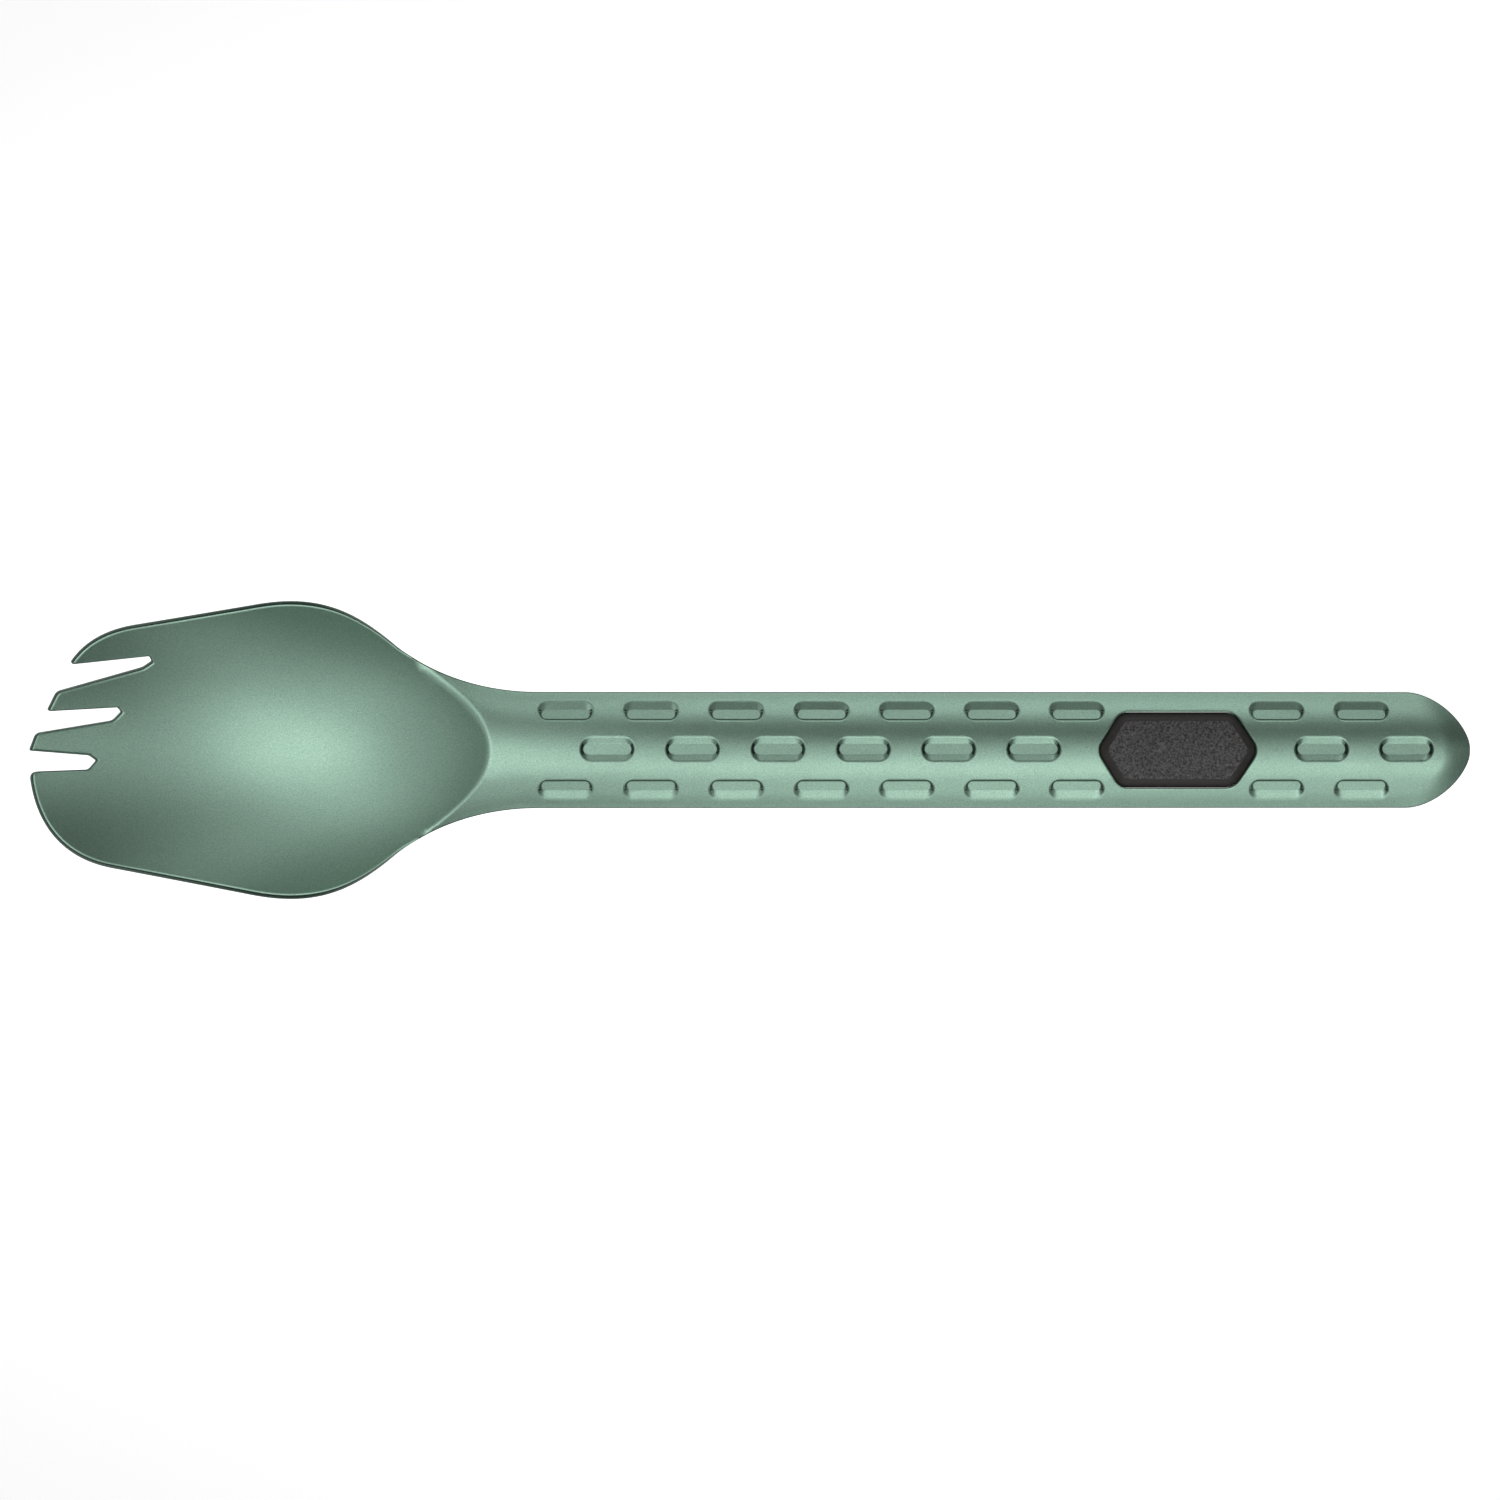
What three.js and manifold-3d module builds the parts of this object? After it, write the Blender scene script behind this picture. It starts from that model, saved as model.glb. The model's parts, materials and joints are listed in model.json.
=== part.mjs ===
// Spork with a flat steel tool nested in the hollow back of its handle.
// A rubber peg, moulded through the tool, plugs it into a window in the handle.
// Millimetres. While building, x runs along the spork from its throat, where the bowl meets the
// handle, to the end of the handle. y runs to the prong side, and z = 0 is the crown of the handle.

import * as THREE from "three";
import { mergeVertices } from "three/addons/utils/BufferGeometryUtils.js";
import Module from "manifold-3d";

const wasm = await Module();
wasm.setup();

// Sheet and fit
const SHEET = 1.3;
const FIT = 0.3;

// Outline of the bowl
const BOWL_LENGTH = 61;
const BOWL_WIDTH = 39.75;
const FRONT_FLAT = 1.2;
const FRONT_WIDTH = 31.5;
const FRONT_CORNER = 11;
const FRONT_CORNER_PULLS = [9, 6.7];
const SIDE_INSET = 0.55;
const SHOULDER_FROM_THROAT = 31.6;
const SHOULDER_PULLS = [8.55, 7.7];
const NECK_FROM_THROAT = 12.35;
const NECK_BEND_WIDTH = 28;
const NECK_ANGLE = 40.9;
const NECK_PAST_THROAT = 6.7;
const NECK_PULLS = [2.9, 10.35];

// Hollow of the bowl
const BOWL_DEPTH = 8.5;
const RIM_DROP = 2.4;
const FLOOR_FROM_THROAT = 27.5;
const TIP_DROP = 2.3;
const TIP_SLOPE = 0.5;
const SIDE_SPREAD = 0.012;
const THROAT_ROUND = 0.5;
const THROAT_FLARE_FROM = 8;
const THROAT_FLARE = 0.35;

// Prongs: places are distances back from the front and in from the prong-side front corner
const PRONG_LINE_IN = 15.25;
const PRONG_LINE_ANGLE = 26.2;
const PRONG_CORNER = { start: [13.6, -0.91], pull: [8.2, 0.14], end: [5.61, 3.84] };
const SLOTS = [
  { upper: [16, 3.38], nose: [16.2, 3.77], lower: [15.05, 4.58], upperAngle: 6.3, lowerAngle: 16.1 },
  { upper: [11.7, 10.15], nose: [12.05, 10.6], lower: [10.95, 11.74], upperAngle: 3.3, lowerAngle: 9.6 },
  { upper: [7.8, 16.47], nose: [8.75, 17.15], lower: [7.75, 18.32], upperAngle: -4.6, lowerAngle: 2.1 },
];

// Handle
const HANDLE_LENGTH = 131;
const HANDLE_WIDTH = 15.45;
const ARCH_RISE = 3.2;
const NOSE_LENGTH = 8.3;
const NOSE_TIP_WIDTH = 1;
const NOSE_POWERS = [1.8, 0.65];

// Hexagonal window and the pressed grip dimples on both sides of it.
// Slopes are rises of a dimple's walls over its floor, which lies parallel to the arch.
const WINDOW_FROM_END = 38.9;
const WINDOW_LENGTH = 21.4;
const WINDOW_WIDTH = 10.1;
const WINDOW_FLAT = 15.2;
const WINDOW_CORNER = 1.3;
const DIMPLE_LENGTH = 6.2;
const DIMPLE_WIDTH = 1.2;
const DIMPLE_DEPTH = 0.5;
const DIMPLE_END_SLOPE = 1;
const DIMPLE_PITCH = 11.34;
const DIMPLE_FROM_THROAT = 10;
const DIMPLE_FROM_END = 6.5;
const GENTLE = 0.26;
const STEEP = 2;
const DIMPLE_ROWS = [
  { y: 4.78, fromWindow: 13.35, upperSlope: GENTLE, lowerSlope: STEEP },
  { y: 0, fromWindow: 19.2, upperSlope: GENTLE, lowerSlope: GENTLE },
  { y: -4.78, fromWindow: 13.35, upperSlope: STEEP, lowerSlope: GENTLE },
];

// Nested tool
const TOOL_WIDTH = 8.2;
const TOOL_THICKNESS = 1.7;
const TOOL_FRONT = 59.5;
const TOOL_CORNER = 0.8;
const PRY_WIDTH = 6;
const PRY_LENGTH = 9;
const PRY_EDGE = 0.7;
const DRIVER_WIDTH = 3.6;
const DRIVER_LENGTH = 6;
const DRIVER_SHOULDER = 1.6;
const BEAK_LENGTH = 4;
const OPENER_LENGTH = 11;
const OPENER_DEPTH = 4.6;
const OPENER_TOOTH = 2.4;
const TOOTH_HEIGHT = 1.6;

// Peg
const PEG_BORDER = 1.05;
const PEG_BORDER_DROP = 0.45;
const PEG_PROUD = 0.1;
const STEM_LENGTH = 12;
const STEM_WIDTH = 4;
const FLANGE_LENGTH = 15.6;
const FLANGE_WIDTH = 5.6;
const FLANGE_THICKNESS = 0.7;

// Number of steps in round stretches
const ACROSS_STEPS = 18;
const CORNER_STEPS = 3;
const FRONT_STEPS = 9;
const SIDE_STEPS = 6;
const SHOULDER_STEPS = 10;
const NECK_STEPS = 14;
const NOSE_STEPS = 8;
const DIMPLE_END_STEPS = 4;
const PEG_FACE_RINGS = 3;

const CUT_MARGIN = 4;
const PUNCH_MARGIN = 0.2;
const SLOPE_STEP = 0.2;

const handleHalf = HANDLE_WIDTH / 2;
const frontHalf = FRONT_WIDTH / 2;
const bowlFront = -BOWL_LENGTH;
const noseStart = HANDLE_LENGTH - NOSE_LENGTH;
const windowX = HANDLE_LENGTH - WINDOW_FROM_END;
const archRadius = (handleHalf ** 2 + ARCH_RISE ** 2) / (2 * ARCH_RISE);
const radians = THREE.MathUtils.degToRad;

// Solids and meshes

function solid(geometry) {
  geometry.deleteAttribute("normal");
  geometry.deleteAttribute("uv");
  const merged = mergeVertices(geometry, 1e-4);
  const mesh = new wasm.Mesh({
    numProp: 3,
    vertProperties: new Float32Array(merged.attributes.position.array),
    triVerts: new Uint32Array(merged.index.array),
  });
  return new wasm.Manifold(mesh);
}

function geometryOf(body) {
  const mesh = body.getMesh();
  const geometry = new THREE.BufferGeometry();
  geometry.setAttribute("position", new THREE.BufferAttribute(mesh.vertProperties, mesh.numProp));
  geometry.setIndex(new THREE.BufferAttribute(mesh.triVerts, 1));
  geometry.computeVertexNormals();
  return geometry;
}

function part(name, body, material) {
  const mesh = new THREE.Mesh(geometryOf(body), material);
  mesh.name = name;
  return mesh;
}

// Closed solid through rings of points that run counter-clockwise as seen from above, lowest first
function loft(rings) {
  const count = rings[0].length;
  const index = [];
  for (let level = 0; level + 1 < rings.length; level += 1) {
    for (let i = 0; i < count; i += 1) {
      const next = (i + 1) % count;
      const a = level * count + i;
      const b = level * count + next;
      index.push(a, b, b + count, a, b + count, a + count);
    }
  }
  const top = (rings.length - 1) * count;
  for (let i = 1; i + 1 < count; i += 1) {
    index.push(0, i + 1, i);
    index.push(top, top + i, top + i + 1);
  }
  const geometry = new THREE.BufferGeometry().setFromPoints(rings.flat());
  geometry.setIndex(index);
  return solid(geometry);
}

// Straight prism of a plan shape between two heights
function prism(shape, low, high) {
  const geometry = new THREE.ExtrudeGeometry(shape, {
    depth: high - low,
    bevelEnabled: false,
    curveSegments: CORNER_STEPS,
  });
  return solid(geometry.translate(0, 0, low));
}

function roundedPolygon(corners, radius) {
  const shape = new THREE.Shape();
  corners.forEach((corner, i) => {
    const before = corners[(i + corners.length - 1) % corners.length];
    const after = corners[(i + 1) % corners.length];
    const cutIn = Math.min(radius, 0.45 * corner.distanceTo(before));
    const cutOut = Math.min(radius, 0.45 * corner.distanceTo(after));
    const enter = before.clone().sub(corner).setLength(cutIn).add(corner);
    const leave = after.clone().sub(corner).setLength(cutOut).add(corner);
    if (i === 0) {
      shape.moveTo(enter.x, enter.y);
    } else {
      shape.lineTo(enter.x, enter.y);
    }
    shape.quadraticCurveTo(corner.x, corner.y, leave.x, leave.y);
  });
  shape.closePath();
  return shape;
}

function stadium(length, width, steps) {
  const radius = width / 2;
  const straight = Math.max(length / 2 - radius, 0);
  const points = [];
  for (const side of [1, -1]) {
    for (let i = 0; i <= steps; i += 1) {
      const angle = Math.PI * (i / steps - 0.5);
      const x = side * (straight + radius * Math.cos(angle));
      points.push(new THREE.Vector2(x, side * radius * Math.sin(angle)));
    }
  }
  return points;
}

function ring(points, x, y, z) {
  return points.map((point) => new THREE.Vector3(point.x + x, point.y + y, z));
}

// Outline of the spork: half width at stations from the front of the bowl to the end of the handle

function halfOutline() {
  const corner = new THREE.Vector2(bowlFront + FRONT_CORNER, frontHalf);
  const shoulder = new THREE.Vector2(-SHOULDER_FROM_THROAT, BOWL_WIDTH / 2 - SIDE_INSET);
  const neck = new THREE.Vector2(-NECK_FROM_THROAT, NECK_BEND_WIDTH / 2);
  const handle = new THREE.Vector2(NECK_PAST_THROAT, handleHalf);
  const tip = new THREE.Vector2(bowlFront, FRONT_FLAT / 2);
  const sideway = shoulder.clone().sub(corner).normalize();
  const neckway = new THREE.Vector2(Math.cos(radians(NECK_ANGLE)), -Math.sin(radians(NECK_ANGLE)));
  const along = (from, way, length) => from.clone().addScaledVector(way, length);
  const up = new THREE.Vector2(0, 1);
  const ahead = new THREE.Vector2(1, 0);
  const curves = [
    [tip, along(tip, up, FRONT_CORNER_PULLS[0]), along(corner, sideway, -FRONT_CORNER_PULLS[1]), corner],
    [shoulder, along(shoulder, sideway, SHOULDER_PULLS[0]), along(neck, neckway, -SHOULDER_PULLS[1]), neck],
    [neck, along(neck, neckway, NECK_PULLS[0]), along(handle, ahead, -NECK_PULLS[1]), handle],
  ].map((points) => new THREE.CubicBezierCurve(...points));
  const nose = [];
  for (let i = 0; i <= NOSE_STEPS; i += 1) {
    const reach = Math.sin((Math.PI / 2) * (i / NOSE_STEPS));
    const share = (1 - reach ** NOSE_POWERS[0]) ** NOSE_POWERS[1];
    const half = THREE.MathUtils.lerp(NOSE_TIP_WIDTH / 2, handleHalf, share);
    nose.push(new THREE.Vector2(noseStart + NOSE_LENGTH * reach, half));
  }
  return [
    ...curves[0].getPoints(FRONT_STEPS),
    ...new THREE.LineCurve(corner, shoulder).getPoints(SIDE_STEPS).slice(1),
    ...curves[1].getPoints(SHOULDER_STEPS).slice(1),
    ...curves[2].getPoints(NECK_STEPS).slice(1),
    ...nose,
  ];
}

const stations = halfOutline();

function halfWidthAt(x) {
  const last = stations.length - 1;
  const next = stations.findIndex((station) => station.x > x);
  if (next === 0) {
    return stations[0].y;
  }
  if (next < 0) {
    return stations[last].y;
  }
  const from = stations[next - 1];
  const to = stations[next];
  return THREE.MathUtils.mapLinear(x, from.x, to.x, from.y, to.y);
}

// Height of the spork's upper face

function archDrop(y) {
  return archRadius - Math.sqrt(archRadius ** 2 - y ** 2);
}

function floorCoefficients() {
  const tip = FLOOR_FROM_THROAT - BOWL_LENGTH;
  const throat = FLOOR_FROM_THROAT;
  const floor = RIM_DROP + BOWL_DEPTH;
  const terms = new THREE.Matrix3().set(
    tip ** 2, tip ** 3, tip ** 4,
    2 * tip, 3 * tip ** 2, 4 * tip ** 3,
    throat ** 2, throat ** 3, throat ** 4,
  );
  return new THREE.Vector3(floor - TIP_DROP, -TIP_SLOPE, floor).applyMatrix3(terms.invert());
}

const floorLine = floorCoefficients();
const crossCurve = BOWL_DEPTH / (BOWL_WIDTH / 2) ** 2;

function floorRise(d) {
  return d ** 2 * (floorLine.x + d * (floorLine.y + d * floorLine.z));
}

const throatSlope = (floorRise(FLOOR_FROM_THROAT) - floorRise(FLOOR_FROM_THROAT - SLOPE_STEP)) / SLOPE_STEP;

// Past the throat the floor line goes on straight
function bowlHeight(x, y) {
  const d = x + FLOOR_FROM_THROAT;
  const rise = floorRise(Math.min(d, FLOOR_FROM_THROAT)) + throatSlope * Math.max(x, 0);
  return rise - RIM_DROP - BOWL_DEPTH + crossCurve * (1 + SIDE_SPREAD * d) * y ** 2;
}

function handleHeight(x, y) {
  const half = halfWidthAt(x);
  const spread = Math.max(half / handleHalf, 1);
  const noseDrop = ARCH_RISE - archDrop(Math.min(half, handleHalf));
  const flare = THROAT_FLARE * Math.max(-x - THROAT_FLARE_FROM, 0) ** 2;
  return flare - noseDrop - archDrop(y / spread);
}

function upperHeight(x, y) {
  const bowl = bowlHeight(x, y);
  const handle = handleHeight(x, y);
  const blend = Math.max(THROAT_ROUND - Math.abs(bowl - handle), 0) / THROAT_ROUND;
  return Math.min(bowl, handle) - (blend ** 2 * THROAT_ROUND) / 4;
}

function lowerHeight(x, y) {
  const slopeX = (upperHeight(x + SLOPE_STEP, y) - upperHeight(x - SLOPE_STEP, y)) / (2 * SLOPE_STEP);
  const inner = Math.max(Math.abs(y) - SLOPE_STEP, 0);
  const outer = inner + SLOPE_STEP;
  const slopeY = (upperHeight(x, outer) - upperHeight(x, inner)) / SLOPE_STEP;
  return upperHeight(x, y) - SHEET * Math.hypot(1, slopeX, slopeY);
}

// Spork

function blank() {
  const points = [];
  const across = ACROSS_STEPS + 1;
  for (const height of [upperHeight, lowerHeight]) {
    for (const { x, y: half } of stations) {
      for (let j = 0; j < across; j += 1) {
        const y = half * ((2 * j) / ACROSS_STEPS - 1);
        points.push(new THREE.Vector3(x, y, height(x, y)));
      }
    }
  }
  const under = stations.length * across;
  const index = [];
  const quad = (a, b, c, d) => index.push(a, b, c, a, c, d);
  for (let i = 0; i + 1 < stations.length; i += 1) {
    const row = i * across;
    const next = row + across;
    for (let j = 0; j < ACROSS_STEPS; j += 1) {
      quad(row + j, next + j, next + j + 1, row + j + 1);
      quad(under + row + j, under + row + j + 1, under + next + j + 1, under + next + j);
    }
    quad(under + row, under + next, next, row);
    quad(row + ACROSS_STEPS, next + ACROSS_STEPS, under + next + ACROSS_STEPS, under + row + ACROSS_STEPS);
  }
  const end = under - across;
  for (let j = 0; j < ACROSS_STEPS; j += 1) {
    quad(j, j + 1, under + j + 1, under + j);
    quad(end + j + 1, end + j, under + end + j, under + end + j + 1);
  }
  const geometry = new THREE.BufferGeometry().setFromPoints(points);
  geometry.setIndex(index);
  return solid(geometry);
}

function prongPoint([back, inward]) {
  return new THREE.Vector2(bowlFront + back, frontHalf - inward);
}

// Everything in front of the slanted line of the prong tips and the round outer corner of the first
function prongTipCut() {
  const { start, pull, end } = PRONG_CORNER;
  const [from, control, to] = [start, pull, end].map(prongPoint);
  const foot = prongPoint([0, PRONG_LINE_IN]);
  const clear = CUT_MARGIN * Math.tan(radians(PRONG_LINE_ANGLE));
  const shape = new THREE.Shape();
  shape.moveTo(foot.x - clear, foot.y - CUT_MARGIN);
  shape.lineTo(to.x, to.y);
  shape.quadraticCurveTo(control.x, control.y, from.x, from.y);
  shape.lineTo(from.x, frontHalf + CUT_MARGIN);
  shape.lineTo(bowlFront - CUT_MARGIN, frontHalf + CUT_MARGIN);
  shape.lineTo(bowlFront - CUT_MARGIN, foot.y - CUT_MARGIN);
  shape.closePath();
  return shape;
}

function slotCut({ upper, nose, lower, upperAngle, lowerAngle }) {
  const [top, root, bottom] = [upper, nose, lower].map(prongPoint);
  const mouth = (corner, angle) => {
    const run = corner.x - bowlFront + CUT_MARGIN;
    return new THREE.Vector2(corner.x - run, corner.y - run * Math.tan(radians(angle)));
  };
  return new THREE.Shape([mouth(bottom, lowerAngle), bottom, root, top, mouth(top, upperAngle)]);
}

function hexagon(inset) {
  const rise = WINDOW_WIDTH / 2;
  const run = (WINDOW_LENGTH - WINDOW_FLAT) / 2;
  const tip = WINDOW_LENGTH / 2 - (inset * Math.hypot(run, rise)) / rise;
  const top = rise - inset;
  const shoulder = tip - (top * run) / rise;
  const corners = [
    [tip, 0],
    [shoulder, top],
    [-shoulder, top],
    [-tip, 0],
    [-shoulder, -top],
    [shoulder, -top],
  ].map(([x, y]) => new THREE.Vector2(x, y));
  return roundedPolygon(corners, Math.max(WINDOW_CORNER - inset, WINDOW_CORNER / 2));
}

function windowCut() {
  const shape = new THREE.Shape(hexagon(0).getPoints(CORNER_STEPS));
  return prism(shape, -ARCH_RISE - SHEET - CUT_MARGIN, CUT_MARGIN).translate([windowX, 0, 0]);
}

function dimplePlaces() {
  const places = [];
  for (const row of DIMPLE_ROWS) {
    for (let x = windowX - row.fromWindow; x >= DIMPLE_FROM_THROAT; x -= DIMPLE_PITCH) {
      places.push([x, row]);
    }
    for (let x = windowX + row.fromWindow; x <= HANDLE_LENGTH - DIMPLE_FROM_END; x += DIMPLE_PITCH) {
      places.push([x, row]);
    }
  }
  return places;
}

// What the punch of one dimple takes up, set lower by a drop. The same shape, a sheet lower, is the
// bump that the punch raises on the back.
function punch([x, { y, upperSlope, lowerSlope }], drop) {
  const tilt = -y / Math.sqrt(archRadius ** 2 - y ** 2);
  const middle = -archDrop(y) - DIMPLE_DEPTH - drop;
  const height = DIMPLE_DEPTH + PUNCH_MARGIN;
  const floor = stadium(DIMPLE_LENGTH, DIMPLE_WIDTH, DIMPLE_END_STEPS);
  const level = (points, over) => {
    return points.map((p) => new THREE.Vector3(x + p.x, y + p.y, middle + over + tilt * p.y));
  };
  const mouth = floor.map((p) => {
    const sideSlope = p.y > 0 ? upperSlope : lowerSlope;
    const straight = DIMPLE_LENGTH / 2 - DIMPLE_WIDTH / 2;
    const outX = Math.sign(p.x) * (Math.abs(p.x) - straight) / (DIMPLE_WIDTH / 2);
    const outY = p.y / (DIMPLE_WIDTH / 2);
    return p.clone().add(new THREE.Vector2(outX / DIMPLE_END_SLOPE, outY / sideSlope).multiplyScalar(height));
  });
  return loft([level(floor, 0), level(mouth, height)]);
}

function sporkBody() {
  let body = blank();
  const low = -RIM_DROP - BOWL_DEPTH - SHEET - CUT_MARGIN;
  for (const cut of [prongTipCut(), ...SLOTS.map(slotCut)]) {
    body = body.subtract(prism(cut, low, CUT_MARGIN));
  }
  for (const place of dimplePlaces()) {
    const steepness = archRadius / Math.sqrt(archRadius ** 2 - place[1].y ** 2);
    const bump = [1, -1].reduce(
      (shape, side) => shape.trimByPlane([0, side, 0], -handleHalf),
      punch(place, SHEET * steepness),
    );
    body = body.add(bump).subtract(punch(place, 0));
  }
  return body.subtract(windowCut());
}

// Tool and peg

const toolTop = lowerHeight(windowX, TOOL_WIDTH / 2) - DIMPLE_DEPTH - FIT;
const toolBack = toolTop - TOOL_THICKNESS;
const toolRear = WINDOW_FROM_END - NOSE_LENGTH - FIT;
const flangeTop = toolBack + FLANGE_THICKNESS;

function toolOutline() {
  const half = TOOL_WIDTH / 2;
  const front = -TOOL_FRONT;
  const shoulder = front + DRIVER_LENGTH;
  const beak = shoulder + DRIVER_SHOULDER + BEAK_LENGTH;
  const openerEnd = beak + OPENER_LENGTH;
  const openerTop = -half + OPENER_DEPTH;
  return roundedPolygon(
    [
      [toolRear, -PRY_WIDTH / 2],
      [toolRear, PRY_WIDTH / 2],
      [toolRear - PRY_LENGTH, half],
      [shoulder + DRIVER_SHOULDER, half],
      [shoulder, DRIVER_WIDTH / 2],
      [front, DRIVER_WIDTH / 2],
      [front, -DRIVER_WIDTH / 2],
      [shoulder, -DRIVER_WIDTH / 2],
      [shoulder + DRIVER_SHOULDER, -half],
      [beak, -half],
      [beak, openerTop],
      [openerEnd, openerTop],
      [openerEnd, -half + TOOTH_HEIGHT],
      [openerEnd - OPENER_TOOTH, -half + TOOTH_HEIGHT],
      [openerEnd, -half],
      [toolRear - PRY_LENGTH, -half],
    ].map(([x, y]) => new THREE.Vector2(x, y)),
    TOOL_CORNER,
  );
}

// Wedge taken off the back of the pry end, down to its working edge
function pryCut() {
  const shape = new THREE.Shape();
  shape.moveTo(toolRear - PRY_LENGTH, toolBack);
  shape.lineTo(toolRear - PRY_LENGTH, toolBack - CUT_MARGIN);
  shape.lineTo(toolRear + CUT_MARGIN, toolBack - CUT_MARGIN);
  const slope = (TOOL_THICKNESS - PRY_EDGE) / PRY_LENGTH;
  shape.lineTo(toolRear + CUT_MARGIN, toolBack + slope * (PRY_LENGTH + CUT_MARGIN));
  shape.closePath();
  const geometry = new THREE.ExtrudeGeometry(shape, { depth: 2 * TOOL_WIDTH, bevelEnabled: false });
  return solid(geometry.translate(0, 0, -TOOL_WIDTH).rotateX(Math.PI / 2));
}

function stadiumPrism(length, width, low, high) {
  const points = stadium(length, width, 2 * DIMPLE_END_STEPS);
  return loft([ring(points, 0, 0, low), ring(points, 0, 0, high)]);
}

function toolBody() {
  const low = toolBack - CUT_MARGIN;
  return prism(toolOutline(), toolBack, toolTop)
    .subtract(stadiumPrism(STEM_LENGTH + 2 * FIT, STEM_WIDTH + 2 * FIT, low, CUT_MARGIN))
    .subtract(stadiumPrism(FLANGE_LENGTH + 2 * FIT, FLANGE_WIDTH + 2 * FIT, low, flangeTop + FIT))
    .subtract(pryCut())
    .translate([windowX, 0, 0]);
}

// Head with a face that follows the arch of the handle, inside a sloping border
function pegHead() {
  const outer = hexagon(FIT).getPoints(CORNER_STEPS).slice(0, -1);
  const face = hexagon(FIT + PEG_BORDER).getPoints(CORNER_STEPS).slice(0, -1);
  const level = (points, height) => {
    return points.map(({ x, y }) => new THREE.Vector3(x, y, height - archDrop(y)));
  };
  const rings = [ring(outer, 0, 0, toolTop + FIT), level(outer, PEG_PROUD - PEG_BORDER_DROP)];
  for (let i = 0; i < PEG_FACE_RINGS; i += 1) {
    const share = 1 - i / PEG_FACE_RINGS;
    rings.push(level(face.map((point) => point.clone().multiplyScalar(share)), PEG_PROUD));
  }
  return loft(rings);
}

function pegBody() {
  const inHead = toolTop + 2 * FIT;
  return pegHead()
    .add(stadiumPrism(STEM_LENGTH, STEM_WIDTH, toolBack, inHead))
    .add(stadiumPrism(FLANGE_LENGTH, FLANGE_WIDTH, toolBack, flangeTop))
    .translate([windowX, 0, 0]);
}

// Pitch at which the lowest points in front of and behind the middle both touch the table
function restingPitch(group) {
  const points = [];
  group.traverse((node) => {
    if (node.isMesh) {
      const position = node.geometry.attributes.position;
      for (let i = 0; i < position.count; i += 1) {
        points.push(new THREE.Vector2(position.getX(i), position.getZ(i)));
      }
    }
  });
  points.sort((a, b) => a.x - b.x || a.y - b.y);
  const hull = [];
  for (const point of points) {
    while (hull.length > 1) {
      const [a, b] = hull.slice(-2);
      if (b.clone().sub(a).cross(point.clone().sub(a)) > 0) {
        break;
      }
      hull.pop();
    }
    hull.push(point);
  }
  const middle = (points[0].x + points[points.length - 1].x) / 2;
  const after = hull.findIndex((point) => point.x > middle);
  const span = hull[after].clone().sub(hull[after - 1]);
  return Math.atan2(span.y, span.x);
}

const coatedSheet = new THREE.MeshStandardMaterial({ color: 0x91ae9f, roughness: 0.45, metalness: 0.8 });
const steel = new THREE.MeshStandardMaterial({ color: 0x9a9c9e, roughness: 0.35, metalness: 1 });
const rubber = new THREE.MeshStandardMaterial({ color: 0x2b2b2b, roughness: 0.8, metalness: 0 });

const multiTool = new THREE.Group();
multiTool.add(part("tool_plate", toolBody(), steel));
multiTool.add(part("release_peg", pegBody(), rubber));

const cutlery = new THREE.Group();
cutlery.add(part("spork", sporkBody(), coatedSheet));
cutlery.add(multiTool);
cutlery.rotation.y = restingPitch(cutlery);

const standing = new THREE.Group();
standing.add(cutlery);
standing.updateMatrixWorld(true);
const box = new THREE.Box3().setFromObject(standing, true);
const centre = box.getCenter(new THREE.Vector3());
standing.position.set(-centre.x, -centre.y, -box.min.z);

export default standing;
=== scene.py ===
import json
import math

import bpy
import numpy as np
from mathutils import Matrix, Vector, noise
from mathutils.geometry import delaunay_2d_cdt


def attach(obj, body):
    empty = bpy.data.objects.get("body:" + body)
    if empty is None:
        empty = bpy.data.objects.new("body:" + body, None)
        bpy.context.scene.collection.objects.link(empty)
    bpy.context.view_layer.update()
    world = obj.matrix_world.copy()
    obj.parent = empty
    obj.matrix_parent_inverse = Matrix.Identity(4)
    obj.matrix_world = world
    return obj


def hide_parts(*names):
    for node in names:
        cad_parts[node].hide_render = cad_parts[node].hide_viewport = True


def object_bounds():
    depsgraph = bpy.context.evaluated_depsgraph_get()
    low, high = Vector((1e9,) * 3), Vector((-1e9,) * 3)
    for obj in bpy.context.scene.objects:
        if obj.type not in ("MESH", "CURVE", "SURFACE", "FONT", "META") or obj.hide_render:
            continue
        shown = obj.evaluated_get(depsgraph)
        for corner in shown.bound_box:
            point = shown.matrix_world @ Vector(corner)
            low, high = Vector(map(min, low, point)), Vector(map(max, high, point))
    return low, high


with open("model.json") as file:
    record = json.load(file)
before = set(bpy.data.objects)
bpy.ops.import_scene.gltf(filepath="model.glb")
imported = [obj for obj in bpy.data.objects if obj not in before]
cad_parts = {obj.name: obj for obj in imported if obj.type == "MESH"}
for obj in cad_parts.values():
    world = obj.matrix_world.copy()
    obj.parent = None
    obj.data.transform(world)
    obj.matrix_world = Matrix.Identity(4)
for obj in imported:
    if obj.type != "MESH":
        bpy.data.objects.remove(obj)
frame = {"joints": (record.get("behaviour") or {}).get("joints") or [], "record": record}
cad_low, cad_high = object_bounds()

# Sizes in millimetres: x from the throat of the spork to the end of its handle, y to the prong side,
# z = 0 at the crown of the handle. Angles in degrees.

SHEET = 1.3
FIT = 0.3
EDGE_ROUND = 0.32

# Plan of the bowl and neck

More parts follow.
